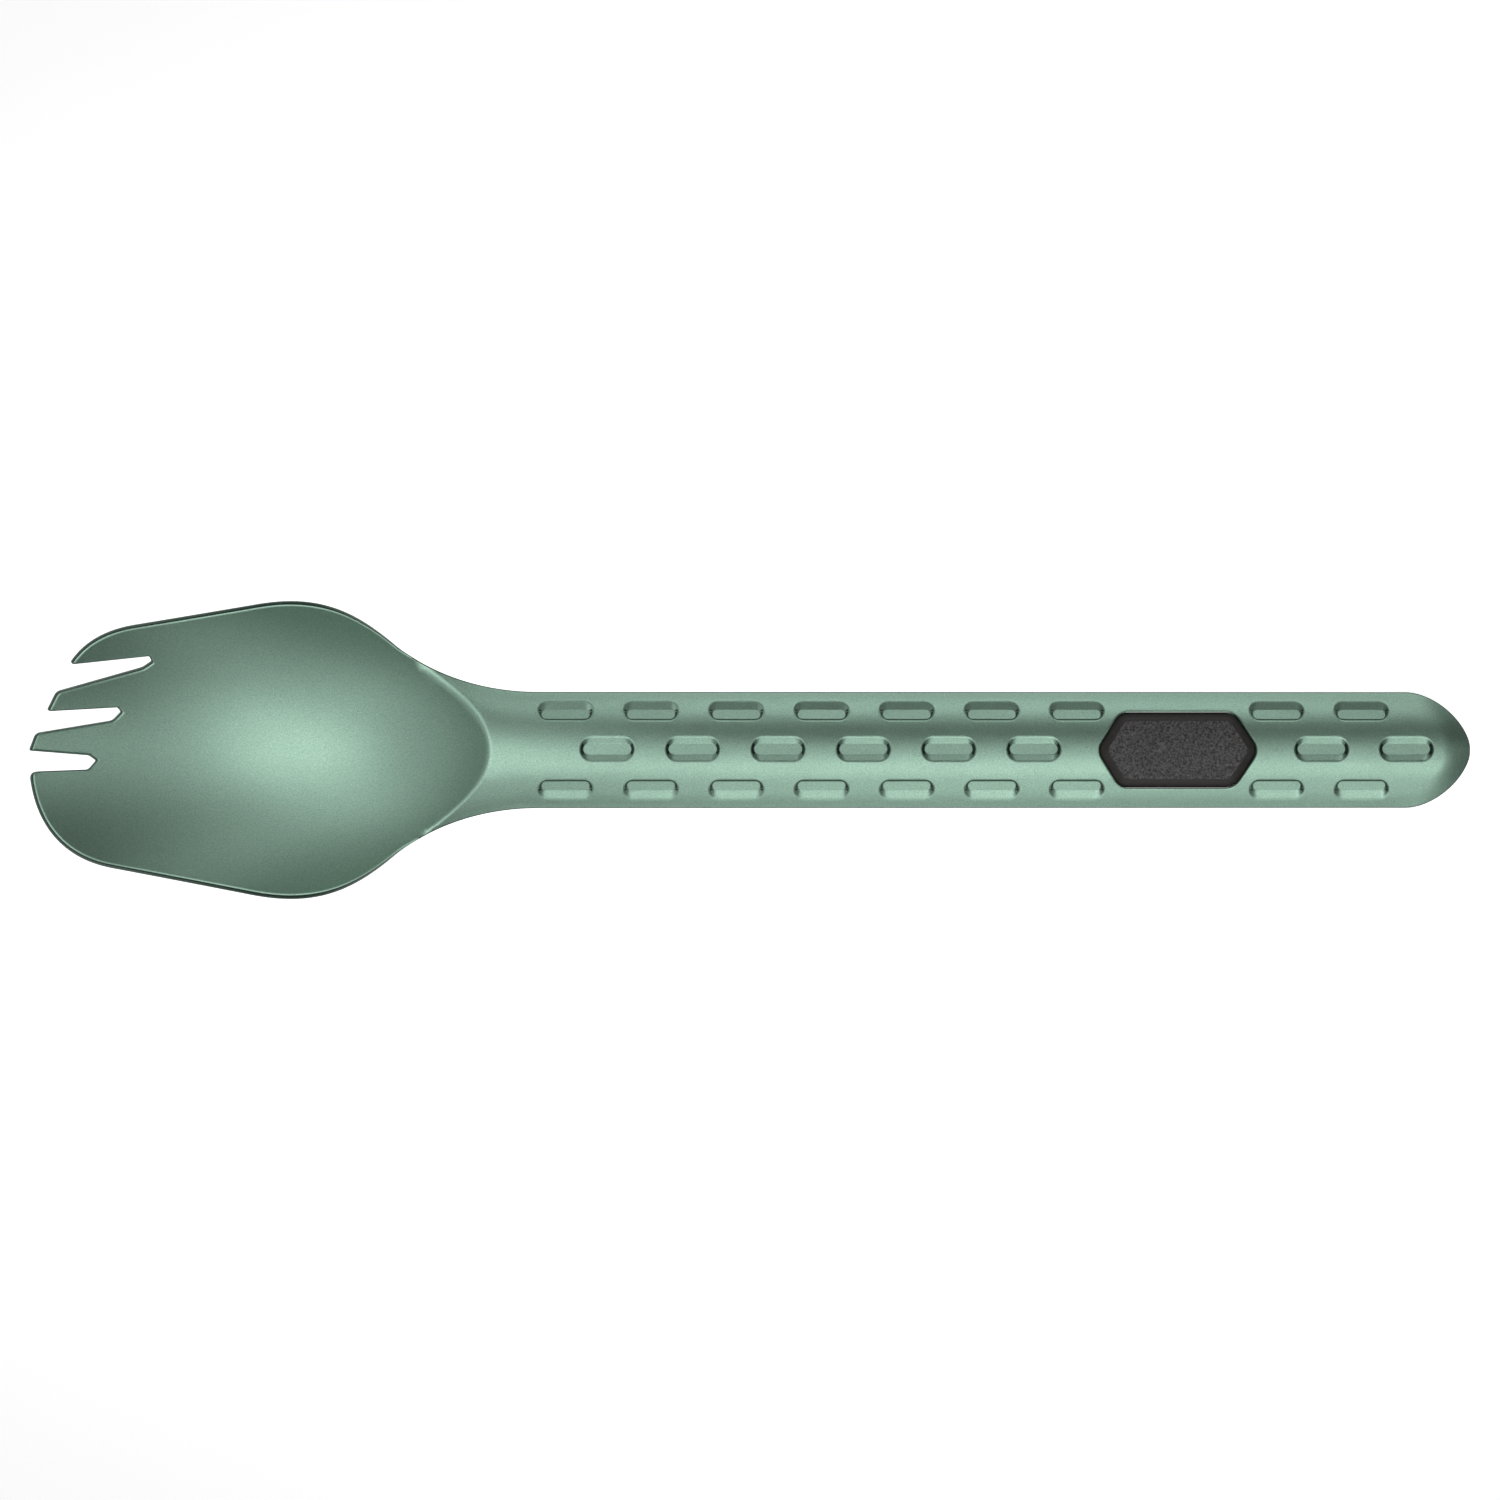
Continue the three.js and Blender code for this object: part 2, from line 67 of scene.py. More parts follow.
BOWL_LENGTH = 61.0
BOWL_WIDTH = 39.75
FRONT_FLAT = 1.2
FRONT_WIDTH = 31.5
FRONT_CORNER = 11.0
FRONT_CORNER_PULLS = (9.0, 6.7)
SIDE_INSET = 0.55
SHOULDER_FROM_THROAT = 31.6
SHOULDER_PULLS = (8.55, 7.7)
NECK_FROM_THROAT = 12.35
NECK_BEND_WIDTH = 28.0
NECK_ANGLE = 40.9
NECK_PAST_THROAT = 6.7
NECK_PULLS = (2.9, 10.35)

# Heights of the bowl and throat

BOWL_DEPTH = 8.5
RIM_DROP = 2.4
FLOOR_FROM_THROAT = 27.5
TIP_DROP = 2.3
TIP_SLOPE = 0.5
SIDE_SPREAD = 0.012
THROAT_ROUND = 0.35
THROAT_SOFT_FROM = 2.0
THROAT_SOFTENING = 0.12
BACK_THROAT_ROUND = 4.0
THROAT_FLARE_FROM = 8.0
THROAT_FLARE = 0.35
SQUARE_EDGE_FROM = 5.0
SQUARE_EDGE_FADE = 20.0

# Prongs, and the slots between them: places are in from the front and from the prong side of the front

PRONG_LINE_IN = 15.25
PRONG_LINE_ANGLE = 26.2
PRONG_CORNER = ((13.6, -0.91), (8.2, 0.14), (5.61, 3.84))
SLOTS = (
    {"upper": (16.0, 3.38), "nose": (16.2, 3.77), "lower": (15.05, 4.58), "angles": (6.3, 16.1)},
    {"upper": (11.7, 10.15), "nose": (12.05, 10.6), "lower": (10.95, 11.74), "angles": (3.3, 9.6)},
    {"upper": (7.8, 16.47), "nose": (8.75, 17.15), "lower": (7.75, 18.32), "angles": (-4.6, 2.1)},
)
PRONG_UPPER_ROUND = 0.6
PRONG_LOWER_ROUND = 0.35
SLOT_NOSE_ROUND = 0.19
SLOT_LOWER_ROUND = 0.5
SPOON_CORNER_ROUND = 0.9

# Handle, and the nose at its end

HANDLE_LENGTH = 130.8
HANDLE_WIDTH = 15.45
ARCH_RISE = 3.2
NOSE_LENGTH = 8.3
NOSE_TIP_WIDTH = 1.0
NOSE_POWERS = (1.8, 0.65)
NOSE_BEND = 3.8
NOSE_BEND_LEAN = 0.1
NOSE_BEND_ROUND = 3.0
NOSE_SLOPE = 0.48
NOSE_FLATTENING = 0.6

# Window

WINDOW_FROM_END = 39.2
WINDOW_LENGTH = 21.6
WINDOW_WIDTH = 10.1
WINDOW_FLAT = 15.2
WINDOW_CORNER = 1.3

# Dimples: each row has its y, the way from the window to its first dimples, the width of the floor, and the
# widths of the wall on the prong side and of the other wall

DIMPLE_LENGTH = 6.35
DIMPLE_WIDTH = 1.15
MIDDLE_DIMPLE_WIDTH = 1.5
DIMPLE_DEPTH = 0.5
DIMPLE_END_WALL = 0.5
DIMPLE_PITCH = 11.34
DIMPLE_FROM_THROAT = 10.0
DIMPLE_FROM_END = 6.5
DIMPLE_FLOOR_CREASE = 0.05
DIMPLE_MOUTH_CREASE = 0.35
GENTLE_WALL = 1.2
MIDDLE_WALL = 0.9
STEEP_WALL = 0.36
CREASE_SLOPE = 40.0
CREASE_SHARE = 0.22
DIMPLE_ROWS = (
    (4.78, 13.35, DIMPLE_WIDTH, GENTLE_WALL, STEEP_WALL),
    (0.12, 19.2, MIDDLE_DIMPLE_WIDTH, MIDDLE_WALL, MIDDLE_WALL),
    (-4.78, 13.35, DIMPLE_WIDTH, STEEP_WALL, GENTLE_WALL),
)

# Flat tool

TOOL_WIDTH = 8.2
TOOL_THICKNESS = 1.7
TOOL_FRONT = 59.0
TOOL_CORNER = 0.8
PRY_WIDTH = 6.0
PRY_LENGTH = 9.0
PRY_EDGE = 0.7
DRIVER_WIDTH = 3.6
DRIVER_LENGTH = 6.0
DRIVER_SHOULDER = 1.6
BEAK_LENGTH = 4.0
OPENER_LENGTH = 11.0
OPENER_DEPTH = 4.6
OPENER_TOOTH = 2.4
TOOTH_HEIGHT = 1.6
TOOL_BEVEL = 0.16
TOOL_BEVEL_SEGMENTS = 2
TOOL_BEVEL_ANGLE = 40
TOOL_SHARP_ANGLE = 35
MOUNT_FROM_THROAT = 72.1

# Peg

PEG_GAP = 0.03
PEG_BORDER = 1.05
PEG_BORDER_DROP = 0.6
PEG_PROUD = 0.1
PEG_EDGE_ROUND = 0.22
PEG_EDGE_IN = 0.35
PEG_EDGE_DOWN = 0.25
PEG_BORDER_LIFT = 0.05
PEG_CREST = 0.1
PEG_PANEL_DROP = 0.02
PEG_SHARP_ANGLE = 50
STIPPLE = 0.06
STIPPLE_PITCH = 0.15
STIPPLE_GRAIN = 0.3
STIPPLE_LAYER = 3.7
STEM_LENGTH = 12.0
STEM_WIDTH = 4.0
FLANGE_LENGTH = 15.6
FLANGE_WIDTH = 5.6
FLANGE_THICKNESS = 0.7
FLANGE_CHAMFER_IN = 0.15
FLANGE_CHAMFER_UP = 0.12

# Shades, each from dark to pale, and the numbers of the second and third materials of a piece

SAGE = ((0.275, 0.425, 0.34), (0.405, 0.615, 0.495))
# Painted shade: a near-black green for the cut edge of the sheet, standing in for the shade on its edge
# faces.
CUT_EDGE_PAINTED_SHADE = ((0.03, 0.052, 0.041), (0.055, 0.085, 0.068))
# Painted shade: a dark green for the steep walls of the dimples, standing in for the shade in the creases.
CREASE_PAINTED_SHADE = ((0.06, 0.1, 0.08), (0.09, 0.145, 0.115))
STEEL = ((0.42, 0.425, 0.43), (0.58, 0.585, 0.59))
SMOOTH_RUBBER = ((0.03, 0.027, 0.025), (0.055, 0.05, 0.047))
STIPPLED_RUBBER = ((0.02, 0.019, 0.019), (0.17, 0.167, 0.168))
CUT_EDGE_SHADE_NUMBER = 1
CREASE_SHADE_NUMBER = 2
STIPPLE_NUMBER = 1

# Steps and spacings of the points that the faces are made of

SLOPE_STEP = 0.05
EDGE_TILT_STEP = 0.2
SOLVE_STEPS = 40
CURVE_POINTS = 60
STRAIGHT_POINTS = 40
SHAFT_POINTS = 240
RIDGE_POINTS = 141
PRY_CREASE_POINTS = 7
PRY_CREASE_REACH = 0.4
CORNER_POINTS = 6
CORNER_REACH = 8
LARGEST_CUT = 0.45
LINE_SPACING = 0.4
EDGE_SPACING = 0.5
TOOL_SPACING = 1.0
FINE_SPACING = 0.4
BOWL_SPACING = (1.1, 0.95)
SHAFT_SPACING = (1.0, 0.55)
SHAFT_MARGIN = 1.0
BOWL_GRID_END = 2.0
BOWL_GRID_HALF = 20.0
THROAT_SPAN = (-16.0, 4.0)
THROAT_SEARCH = (-20.0, 6.0)
RIDGE_ROWS = (-0.5, -0.2, 0.0, 0.2, 0.5)
RIDGE_BAND = 1.3
FIRST_POINT_GAP = 0.1
POINT_CLEARANCE = 0.25
EDGE_CLEARANCE = 0.33
PANEL_CLEARANCE = 0.6 * STIPPLE_PITCH
DIMPLE_MARGIN = 0.4
FRONT_ROUND_STEPS = (0.3, 0.6, 1.0)
BACK_ROUND_STEPS = (0.0, 0.35, 0.7)
SUNK = 1e-4
MERGE_DISTANCE = 1e-6
SMALLEST = 1e-9
POINTS_AT_ONCE = 2000

handle_half = HANDLE_WIDTH / 2
throat_half = NECK_BEND_WIDTH / 2
front_half = FRONT_WIDTH / 2
bowl_front = -BOWL_LENGTH
nose_start = HANDLE_LENGTH - NOSE_LENGTH
window_x = HANDLE_LENGTH - WINDOW_FROM_END
arch_radius = (handle_half**2 + ARCH_RISE**2) / (2 * ARCH_RISE)


# Plan curves

def bezier(points, t):
    """Points of a quadratic or cubic Bezier curve at the values t."""
    points = [np.asarray(p, float) for p in points]
    t = np.asarray(t, float)[:, None]
    while len(points) > 1:
        points = [(1 - t) * a + t * b for a, b in zip(points, points[1:])]
    return points[0]


def half_outline():
    """Half width of the spork at dense stations from the front of the bowl to the end of the handle."""
    corner = np.array((bowl_front + FRONT_CORNER, front_half))
    shoulder = np.array((-SHOULDER_FROM_THROAT, BOWL_WIDTH / 2 - SIDE_INSET))
    neck = np.array((-NECK_FROM_THROAT, throat_half))
    handle = np.array((NECK_PAST_THROAT, handle_half))
    tip = np.array((bowl_front, FRONT_FLAT / 2))
    side = (shoulder - corner) / np.linalg.norm(shoulder - corner)
    fall = np.array((math.cos(math.radians(NECK_ANGLE)), -math.sin(math.radians(NECK_ANGLE))))
    up = np.array((0.0, 1.0))
    ahead = np.array((1.0, 0.0))
    t = np.linspace(0, 1, CURVE_POINTS)
    front = bezier((tip, tip + up * FRONT_CORNER_PULLS[0], corner - side * FRONT_CORNER_PULLS[1], corner), t)
    bulge = bezier((shoulder, shoulder + side * SHOULDER_PULLS[0], neck - fall * SHOULDER_PULLS[1], neck), t)
    bend = bezier((neck, neck + fall * NECK_PULLS[0], handle - ahead * NECK_PULLS[1], handle), t)
    straight = corner + (shoulder - corner) * np.linspace(0, 1, STRAIGHT_POINTS)[1:-1, None]
    reach = np.sin(math.pi / 2 * t)
    share = np.maximum(1 - reach ** NOSE_POWERS[0], 0) ** NOSE_POWERS[1]
    nose = np.column_stack((
        nose_start + NOSE_LENGTH * reach,
        NOSE_TIP_WIDTH / 2 + (handle_half - NOSE_TIP_WIDTH / 2) * share,
    ))
    shaft_x = np.linspace(NECK_PAST_THROAT, nose_start, SHAFT_POINTS)[1:-1]
    shaft = np.column_stack((shaft_x, np.full(len(shaft_x), handle_half)))
    return np.vstack((front, straight, bulge, bend[1:], shaft, nose))


half_line = half_outline()


def half_width_at(x):
    return np.interp(x, half_line[:, 0], half_line[:, 1])


# Heights of the upper face, before the dimples

def arch_drop(y):
    return arch_radius - np.sqrt(np.maximum(arch_radius**2 - np.square(y), 0))


def floor_coefficients():
    tip = FLOOR_FROM_THROAT - BOWL_LENGTH
    throat = FLOOR_FROM_THROAT
    floor = RIM_DROP + BOWL_DEPTH
    terms = np.array((
        (tip**2, tip**3, tip**4),
        (2 * tip, 3 * tip**2, 4 * tip**3),
        (throat**2, throat**3, throat**4),
    ))
    return np.linalg.solve(terms, (floor - TIP_DROP, -TIP_SLOPE, floor))


def arch_steepness(x, y):
    """Upright height over thickness of the arched sheet."""
    spread = np.maximum(half_width_at(x) / handle_half, 1)
    return arch_radius / np.sqrt(arch_radius**2 - np.square(y / spread))


floor_line = floor_coefficients()
cross_curve = BOWL_DEPTH / (BOWL_WIDTH / 2) ** 2


def floor_rise(d):
    return d**2 * (floor_line[0] + d * (floor_line[1] + d * floor_line[2]))


throat_slope = (floor_rise(FLOOR_FROM_THROAT) - floor_rise(FLOOR_FROM_THROAT - SLOPE_STEP)) / SLOPE_STEP


def bowl_height(x, y):
    d = x + FLOOR_FROM_THROAT
    rise = floor_rise(np.minimum(d, FLOOR_FROM_THROAT)) + throat_slope * np.maximum(x, 0)
    return rise - RIM_DROP - BOWL_DEPTH + cross_curve * (1 + SIDE_SPREAD * d) * np.square(y)


def handle_height(x, y):
    """Arch of the handle, which bends down round the plan of its end and flares at the throat."""
    spread = np.maximum(half_width_at(x) / handle_half, 1)
    past_bend = np.maximum(x - HANDLE_LENGTH + NOSE_BEND + NOSE_BEND_LEAN * np.square(y), 0)
    fall = NOSE_SLOPE * (np.hypot(past_bend, NOSE_BEND_ROUND) - NOSE_BEND_ROUND)
    flatter = NOSE_FLATTENING * past_bend**2 / (past_bend**2 + NOSE_BEND**2)
    flare = THROAT_FLARE * np.square(np.maximum(-x - THROAT_FLARE_FROM, 0))
    return flare - arch_drop(y / spread) * (1 - flatter) - fall


def upper_height(x, y, blend=THROAT_ROUND):
    bowl = bowl_height(x, y)
    handle = handle_height(x, y)
    blend = blend + THROAT_SOFTENING * np.maximum(y - THROAT_SOFT_FROM, 0)
    share = np.maximum(blend - np.abs(bowl - handle), 0) / blend
    return np.minimum(bowl, handle) - share**2 * blend / 4


def upper_normal(x, y, blend=THROAT_ROUND):
    h = SLOPE_STEP
    slope_x = (upper_height(x + h, y, blend) - upper_height(x - h, y, blend)) / (2 * h)
    slope_y = (upper_height(x, y + h, blend) - upper_height(x, y - h, blend)) / (2 * h)
    normal = np.column_stack((-slope_x, -slope_y, np.ones_like(slope_x)))
    return normal / np.linalg.norm(normal, axis=1)[:, None]


def bowl_share(x):
    """1 on the bowl, whose sheet edge is square to the sheet, and 0 on the handle, whose edge is upright."""
    t = np.clip((-x - SQUARE_EDGE_FROM) / SQUARE_EDGE_FADE, 0, 1)
    return t * t * (3 - 2 * t)


# Outline of the spork as pieces between sharp corners, counter-clockwise

def prong_point(place):
    return np.array((bowl_front + place[0], front_half - place[1]))


def prong_line(y):
    foot = front_half - PRONG_LINE_IN
    return np.array((max(bowl_front + (y - foot) * math.tan(math.radians(PRONG_LINE_ANGLE)), bowl_front), y))


def on_prong_line(corner, angle):
    """Where a slot's edge, through its inner corner, meets the line of the prong tips."""
    slope = math.tan(math.radians(angle))
    y = corner[1]
    for _ in range(SOLVE_STEPS):
        y = corner[1] - (corner[0] - prong_line(y)[0]) * slope
    return prong_line(y)


def on_spoon_front(corner, angle):
    slope = math.tan(math.radians(angle))
    front = half_line[half_line[:, 0] < bowl_front + FRONT_CORNER]
    y = corner[1]
    for _ in range(SOLVE_STEPS):
        y = corner[1] - (corner[0] - np.interp(-y, front[:, 1], front[:, 0])) * slope
    return np.array((np.interp(-y, front[:, 1], front[:, 0]), y))


def line(a, b):
    count = max(int(np.linalg.norm(b - a) / LINE_SPACING), 2)
    return a + (b - a) * np.linspace(0, 1, count + 1)[:, None]


def outline_pieces():
    """List of (points, cut of the corner after the piece)."""
    start, pull, end = (prong_point(p) for p in PRONG_CORNER)
    spoon_corner = on_spoon_front(prong_point(SLOTS[-1]["lower"]), SLOTS[-1]["angles"][1])
    below = half_line * (1, -1)
    first = np.argmax(below[:, 1] < spoon_corner[1] - FIRST_POINT_GAP)
    shoulder = np.argmax(half_line[:, 0] > -SHOULDER_FROM_THROAT)
    above = half_line[shoulder:][::-1]
    first_tip = on_prong_line(prong_point(SLOTS[0]["upper"]), SLOTS[0]["angles"][0])
    around = np.vstack((
        spoon_corner,
        below[first:],
        above,
        line(above[-1], start)[1:],
        bezier((start, pull, end), np.linspace(0, 1, CURVE_POINTS // 2))[1:],
        line(end, first_tip)[1:],
    ))
    pieces = [(around, PRONG_LOWER_ROUND)]
    for i, slot in enumerate(SLOTS):
        upper, nose, lower = (prong_point(slot[k]) for k in ("upper", "nose", "lower"))
        pieces.append((line(on_prong_line(upper, slot["angles"][0]), upper), SLOT_NOSE_ROUND))
        pieces.append((line(upper, nose), SLOT_NOSE_ROUND))
        pieces.append((line(nose, lower), SLOT_LOWER_ROUND))
        if i + 1 < len(SLOTS):
            mouth = on_prong_line(lower, slot["angles"][1])
            following = prong_point(SLOTS[i + 1]["upper"])
            tip = on_prong_line(following, SLOTS[i + 1]["angles"][0])
            pieces.append((line(lower, mouth), PRONG_UPPER_ROUND))
            pieces.append((line(mouth, tip), PRONG_LOWER_ROUND))
        else:
            pieces.append((line(lower, spoon_corner), SPOON_CORNER_ROUND))
    return pieces


def outward(points, closed):
    """Outward normals of a counter-clockwise line of points."""
    if closed:
        way = np.roll(points, -1, axis=0) - np.roll(points, 1, axis=0)
    else:
        way = np.gradient(points, axis=0)
    normal = np.column_stack((way[:, 1], -way[:, 0]))
    return normal / np.maximum(np.linalg.norm(normal, axis=1), SMALLEST)[:, None]


def crossing(a, b, c, d):
    """Where the lines through a, b and through c, d cross."""
    r = b - a
    s = d - c
    area = r[0] * s[1] - r[1] * s[0]
    t = ((c[0] - a[0]) * s[1] - (c[1] - a[1]) * s[0]) / area
    return a + t * r


def resample(points, count, trim_start=0.0, trim_end=0.0):
    steps = np.concatenate(((0.0,), np.cumsum(np.linalg.norm(np.diff(points, axis=0), axis=1))))
    at = np.linspace(trim_start, steps[-1] - trim_end, count)
    return np.column_stack((np.interp(at, steps, points[:, 0]), np.interp(at, steps, points[:, 1])))


pieces = outline_pieces()
piece_counts = [
    max(int(np.linalg.norm(np.diff(points, axis=0), axis=1).sum() / EDGE_SPACING), 4) for points, _ in pieces
]


def edge_slope(points, normals):
    inner = points - normals * SLOPE_STEP
    rise = (
        upper_height(points[:, 0], points[:, 1], BACK_THROAT_ROUND)
        - upper_height(inner[:, 0], inner[:, 1], BACK_THROAT_ROUND)
    )
    return np.arctan(rise / SLOPE_STEP)


def outline_loop(inset):
    """Loop at an inset from the outline, given for the slope of the sheet's edge and the place x.
    Loops of all insets have the same number of points, which match one to one."""
    moved = []
    for points, _ in pieces:
        normals = outward(points, False)
        slope = edge_slope(points, normals)
        moved.append(points - normals * inset(slope, points[:, 0])[:, None])
    total = len(moved)
    corners = []
    for k in range(total):
        after = moved[(k + 1) % total]
        corners.append(crossing(moved[k][-2], moved[k][-1], after[0], after[1]))
    trimmed = []
    for k in range(total):
        points = moved[k]
        begin, finish = corners[k - 1], corners[k]
        way_in = points[1] - points[0]
        way_out = points[-1] - points[-2]
        middle = points[1:-1]
        keep = ((middle - begin) @ way_in > 0) | (np.arange(len(middle)) > CORNER_REACH)
        keep &= ((middle - finish) @ way_out < 0) | (np.arange(len(middle)) < len(middle) - CORNER_REACH)
        whole = np.vstack((begin, middle[keep], finish))
        trimmed.append(resample(whole, piece_counts[k], pieces[k - 1][1], pieces[k][1]))
    loop = []
    t = np.linspace(0, 1, CORNER_POINTS + 2)[1:-1]
    for k in range(total):
        loop.append(trimmed[k])
        loop.append(bezier((trimmed[k][-1], corners[k], trimmed[(k + 1) % total][0]), t))
    return np.vstack(loop)


# Closed rings of points for windows, slots and dimples

def rounded_polygon(corners, radius, spacing=EDGE_SPACING, counts=None):
    """Points of a polygon with rounded corners, and how many lie on each side, for a matching ring."""
    corners = np.asarray(corners, float)
    total = len(corners)
    cuts = []
    for i in range(total):
        before = np.linalg.norm(corners[i] - corners[i - 1])
        after = np.linalg.norm(corners[(i + 1) % total] - corners[i])
        cuts.append((min(radius, LARGEST_CUT * before), min(radius, LARGEST_CUT * after)))
    points = []
    used = []
    for i in range(total):
        corner = corners[i]
        before = corners[i - 1] - corner
        after = corners[(i + 1) % total] - corner
        enter = corner + before / np.linalg.norm(before) * cuts[i][0]
        leave = corner + after / np.linalg.norm(after) * cuts[i][1]
        points.append(bezier((enter, corner, leave), np.linspace(0, 1, CORNER_POINTS + 1)))
        into = corners[(i + 1) % total] - after / np.linalg.norm(after) * cuts[(i + 1) % total][0]
        count = counts[i] if counts else max(int(np.linalg.norm(into - leave) / spacing), 1)
        used.append(count)
        points.append(leave + (into - leave) * np.linspace(0, 1, count + 1)[1:-1, None])
    return np.vstack(points), used


def hexagon(inset, counts=None):
    rise = WINDOW_WIDTH / 2
    run = (WINDOW_LENGTH - WINDOW_FLAT) / 2
    tip = WINDOW_LENGTH / 2 - inset * math.hypot(run, rise) / rise
    top = rise - inset
    shoulder = tip - top * run / rise
    corners = (
        (tip, 0), (shoulder, top), (-shoulder, top), (-tip, 0), (-shoulder, -top), (shoulder, -top),
    )
    return rounded_polygon(corners, max(WINDOW_CORNER - inset, WINDOW_CORNER / 2), counts=counts)


def stadium(length, width, steps=10, straight_steps=8):
    radius = width / 2
    straight = length / 2 - radius
    angles = np.linspace(-math.pi / 2, math.pi / 2, steps + 1)
    right = np.column_stack((straight + radius * np.cos(angles), radius * np.sin(angles)))
    across = np.linspace(straight, -straight, straight_steps + 1)[1:-1]
    top = np.column_stack((across, np.full(len(across), radius)))
    return np.vstack((right, top, -right, -top))


def dimple_places():
    places = []
    for row in DIMPLE_ROWS:
        from_window = row[1]
        x = window_x - from_window
        while x >= DIMPLE_FROM_THROAT:
            places.append((x, row))
            x -= DIMPLE_PITCH
        x = window_x + from_window
        while x <= HANDLE_LENGTH - DIMPLE_FROM_END:
            places.append((x, row))
            x += DIMPLE_PITCH
    return places


def dimple_rings(x, row):
    """Four rings of (points, normals): edge of the floor, foot of the wall, head of the wall, and the arch
    just outside. The two close pairs make small rounds of the creases."""
    y, _, across, upper_wall, lower_wall = row
    tilt = -y / math.sqrt(arch_radius**2 - y**2)
    middle = -arch_drop(y) - DIMPLE_DEPTH
    floor = stadium(DIMPLE_LENGTH, across)
    mouth = stadium(DIMPLE_LENGTH + 2 * DIMPLE_END_WALL, across + upper_wall + lower_wall)
    mouth = mouth + (x, y + (upper_wall - lower_wall) / 2)

    def on_floor(plan):
        return np.column_stack((plan[:, 0] + x, plan[:, 1] + y, middle + tilt * plan[:, 1]))

    foot = on_floor(floor)
    head = np.column_stack((mouth, upper_height(mouth[:, 0], mouth[:, 1])))
    width = np.linalg.norm(mouth - foot[:, :2], axis=1)[:, None]
    inner_crease = np.minimum(DIMPLE_FLOOR_CREASE, CREASE_SHARE * width)
    outer_crease = np.minimum(DIMPLE_MOUTH_CREASE, CREASE_SHARE * width)
    floor_ring = on_floor(floor - outward(floor, True) * inner_crease)
    foot_ring = foot + (head - foot) * inner_crease / width
    head_ring = head - (head - foot) * outer_crease / width
    outside = mouth + outward(mouth, True) * outer_crease
    outside_ring = np.column_stack((outside, upper_height(outside[:, 0], outside[:, 1])))
    along = np.roll(foot_ring, -1, axis=0) - np.roll(foot_ring, 1, axis=0)
    wall_normal = np.cross(along, foot_ring - head_ring)
    wall_normal /= np.linalg.norm(wall_normal, axis=1)[:, None]
    wall_normal *= np.sign(wall_normal[:, 2])[:, None]
    floor_normal = np.array((0.0, -tilt, 1.0)) / math.hypot(1, tilt)
    return [
        (floor_ring, np.tile(floor_normal, (len(floor), 1))),
        (foot_ring, wall_normal),
        (head_ring, wall_normal),
        (outside_ring, upper_normal(outside[:, 0], outside[:, 1])),
    ]


# From these axes to the axes of the whole object, in metres

release = frame["joints"][0]
pitch = math.atan2(release["axis"][0], release["axis"][2])
turn = np.array((
    (math.cos(pitch), 0, math.sin(pitch)),
    (0, 1, 0),
    (-math.sin(pitch), 0, math.cos(pitch)),
))
edge_y = TOOL_WIDTH / 2
edge_tilt = (arch_drop(edge_y) - arch_drop(edge_y - EDGE_TILT_STEP)) / EDGE_TILT_STEP
tool_top = -arch_drop(edge_y) - SHEET * math.hypot(1, edge_tilt) - DIMPLE_DEPTH - FIT
tool_back = tool_top - TOOL_THICKNESS
tool_rear = WINDOW_FROM_END - NOSE_LENGTH - FIT
flange_top = tool_back + FLANGE_THICKNESS
mount = np.array(frame["record"]["mounts"][0]["pos_m"]) * 1000
origin = mount - turn @ np.array((MOUNT_FROM_THROAT, 0, tool_back))


def to_row(points):
    return (np.asarray(points) @ turn.T + origin) / 1000


def make_piece(name, points, faces, normals=None):
    mesh = bpy.data.meshes.new(name)
    mesh.from_pydata(to_row(points).tolist(), [], [list(map(int, face)) for face in faces])
    mesh.validate()
    mesh.polygons.foreach_set("use_smooth", [True] * len(mesh.polygons))
    if normals is not None:
        mesh.normals_split_custom_set_from_vertices((normals @ turn.T).tolist())
    mesh.update()
    piece = bpy.data.objects.new(name, mesh)
    bpy.context.scene.collection.objects.link(piece)
    return piece


def inside(points, ring):
    """Which points lie inside a closed ring."""
    result = np.zeros(len(points), bool)
    x, y = points[:, 0], points[:, 1]
    for (ax, ay), (bx, by) in zip(ring, np.roll(ring, -1, axis=0)):
        if ay == by:
            continue
        crosses = (ay > y) != (by > y)
        result ^= crosses & (x < (bx - ax) * (y - ay) / (by - ay) + ax)
    return result


def triangulate(rings, loose, holes):
    """Triangles inside rings[0] and outside the rings whose numbers are in holes.
    Points are the rings one after another, then the loose ones."""
    points = np.vstack([*rings, loose]) if len(loose) else np.vstack(rings)
    edges = []
    start = 0
    for ring in rings:
        count = len(ring)
        edges += [(start + i, start + (i + 1) % count) for i in range(count)]
        start += count
    vectors = [Vector(p) for p in points]
    _, _, triangles, sources, _, _ = delaunay_2d_cdt(vectors, edges, [], 0, MERGE_DISTANCE)
    source = np.array([s[0] if s else -1 for s in sources])
    if (source < 0).any():
        raise RuntimeError("plan rings cross")
    corners = np.array([source[list(t)] for t in triangles])
    middles = points[corners].mean(axis=1)
    keep = inside(middles, rings[0])
    for hole in holes:
        keep &= ~inside(middles, rings[hole])
    corners = corners[keep]
    a, b, c = (points[corners[:, k]] for k in range(3))
    area = (b[:, 0] - a[:, 0]) * (c[:, 1] - a[:, 1]) - (b[:, 1] - a[:, 1]) * (c[:, 0] - a[:, 0])
    corners[area < 0] = corners[area < 0][:, ::-1]
    return corners[np.abs(area) > SMALLEST]


def band(first, second, count):
    """Quads between two rings of points, given by where they start."""
    return [
        (first + i, second + i, second + (i + 1) % count, first + (i + 1) % count) for i in range(count)
    ]


def grid(x_range, y_range, spacing_x, spacing_y):
    xs = np.arange(x_range[0], x_range[1], spacing_x)
    ys = np.arange(y_range[0], y_range[1], spacing_y)
    x, y = np.meshgrid(xs, ys)
    x = x + np.where(np.arange(len(ys)) % 2, spacing_x / 2, 0)[:, None]
    return np.column_stack((x.ravel(), y.ravel()))


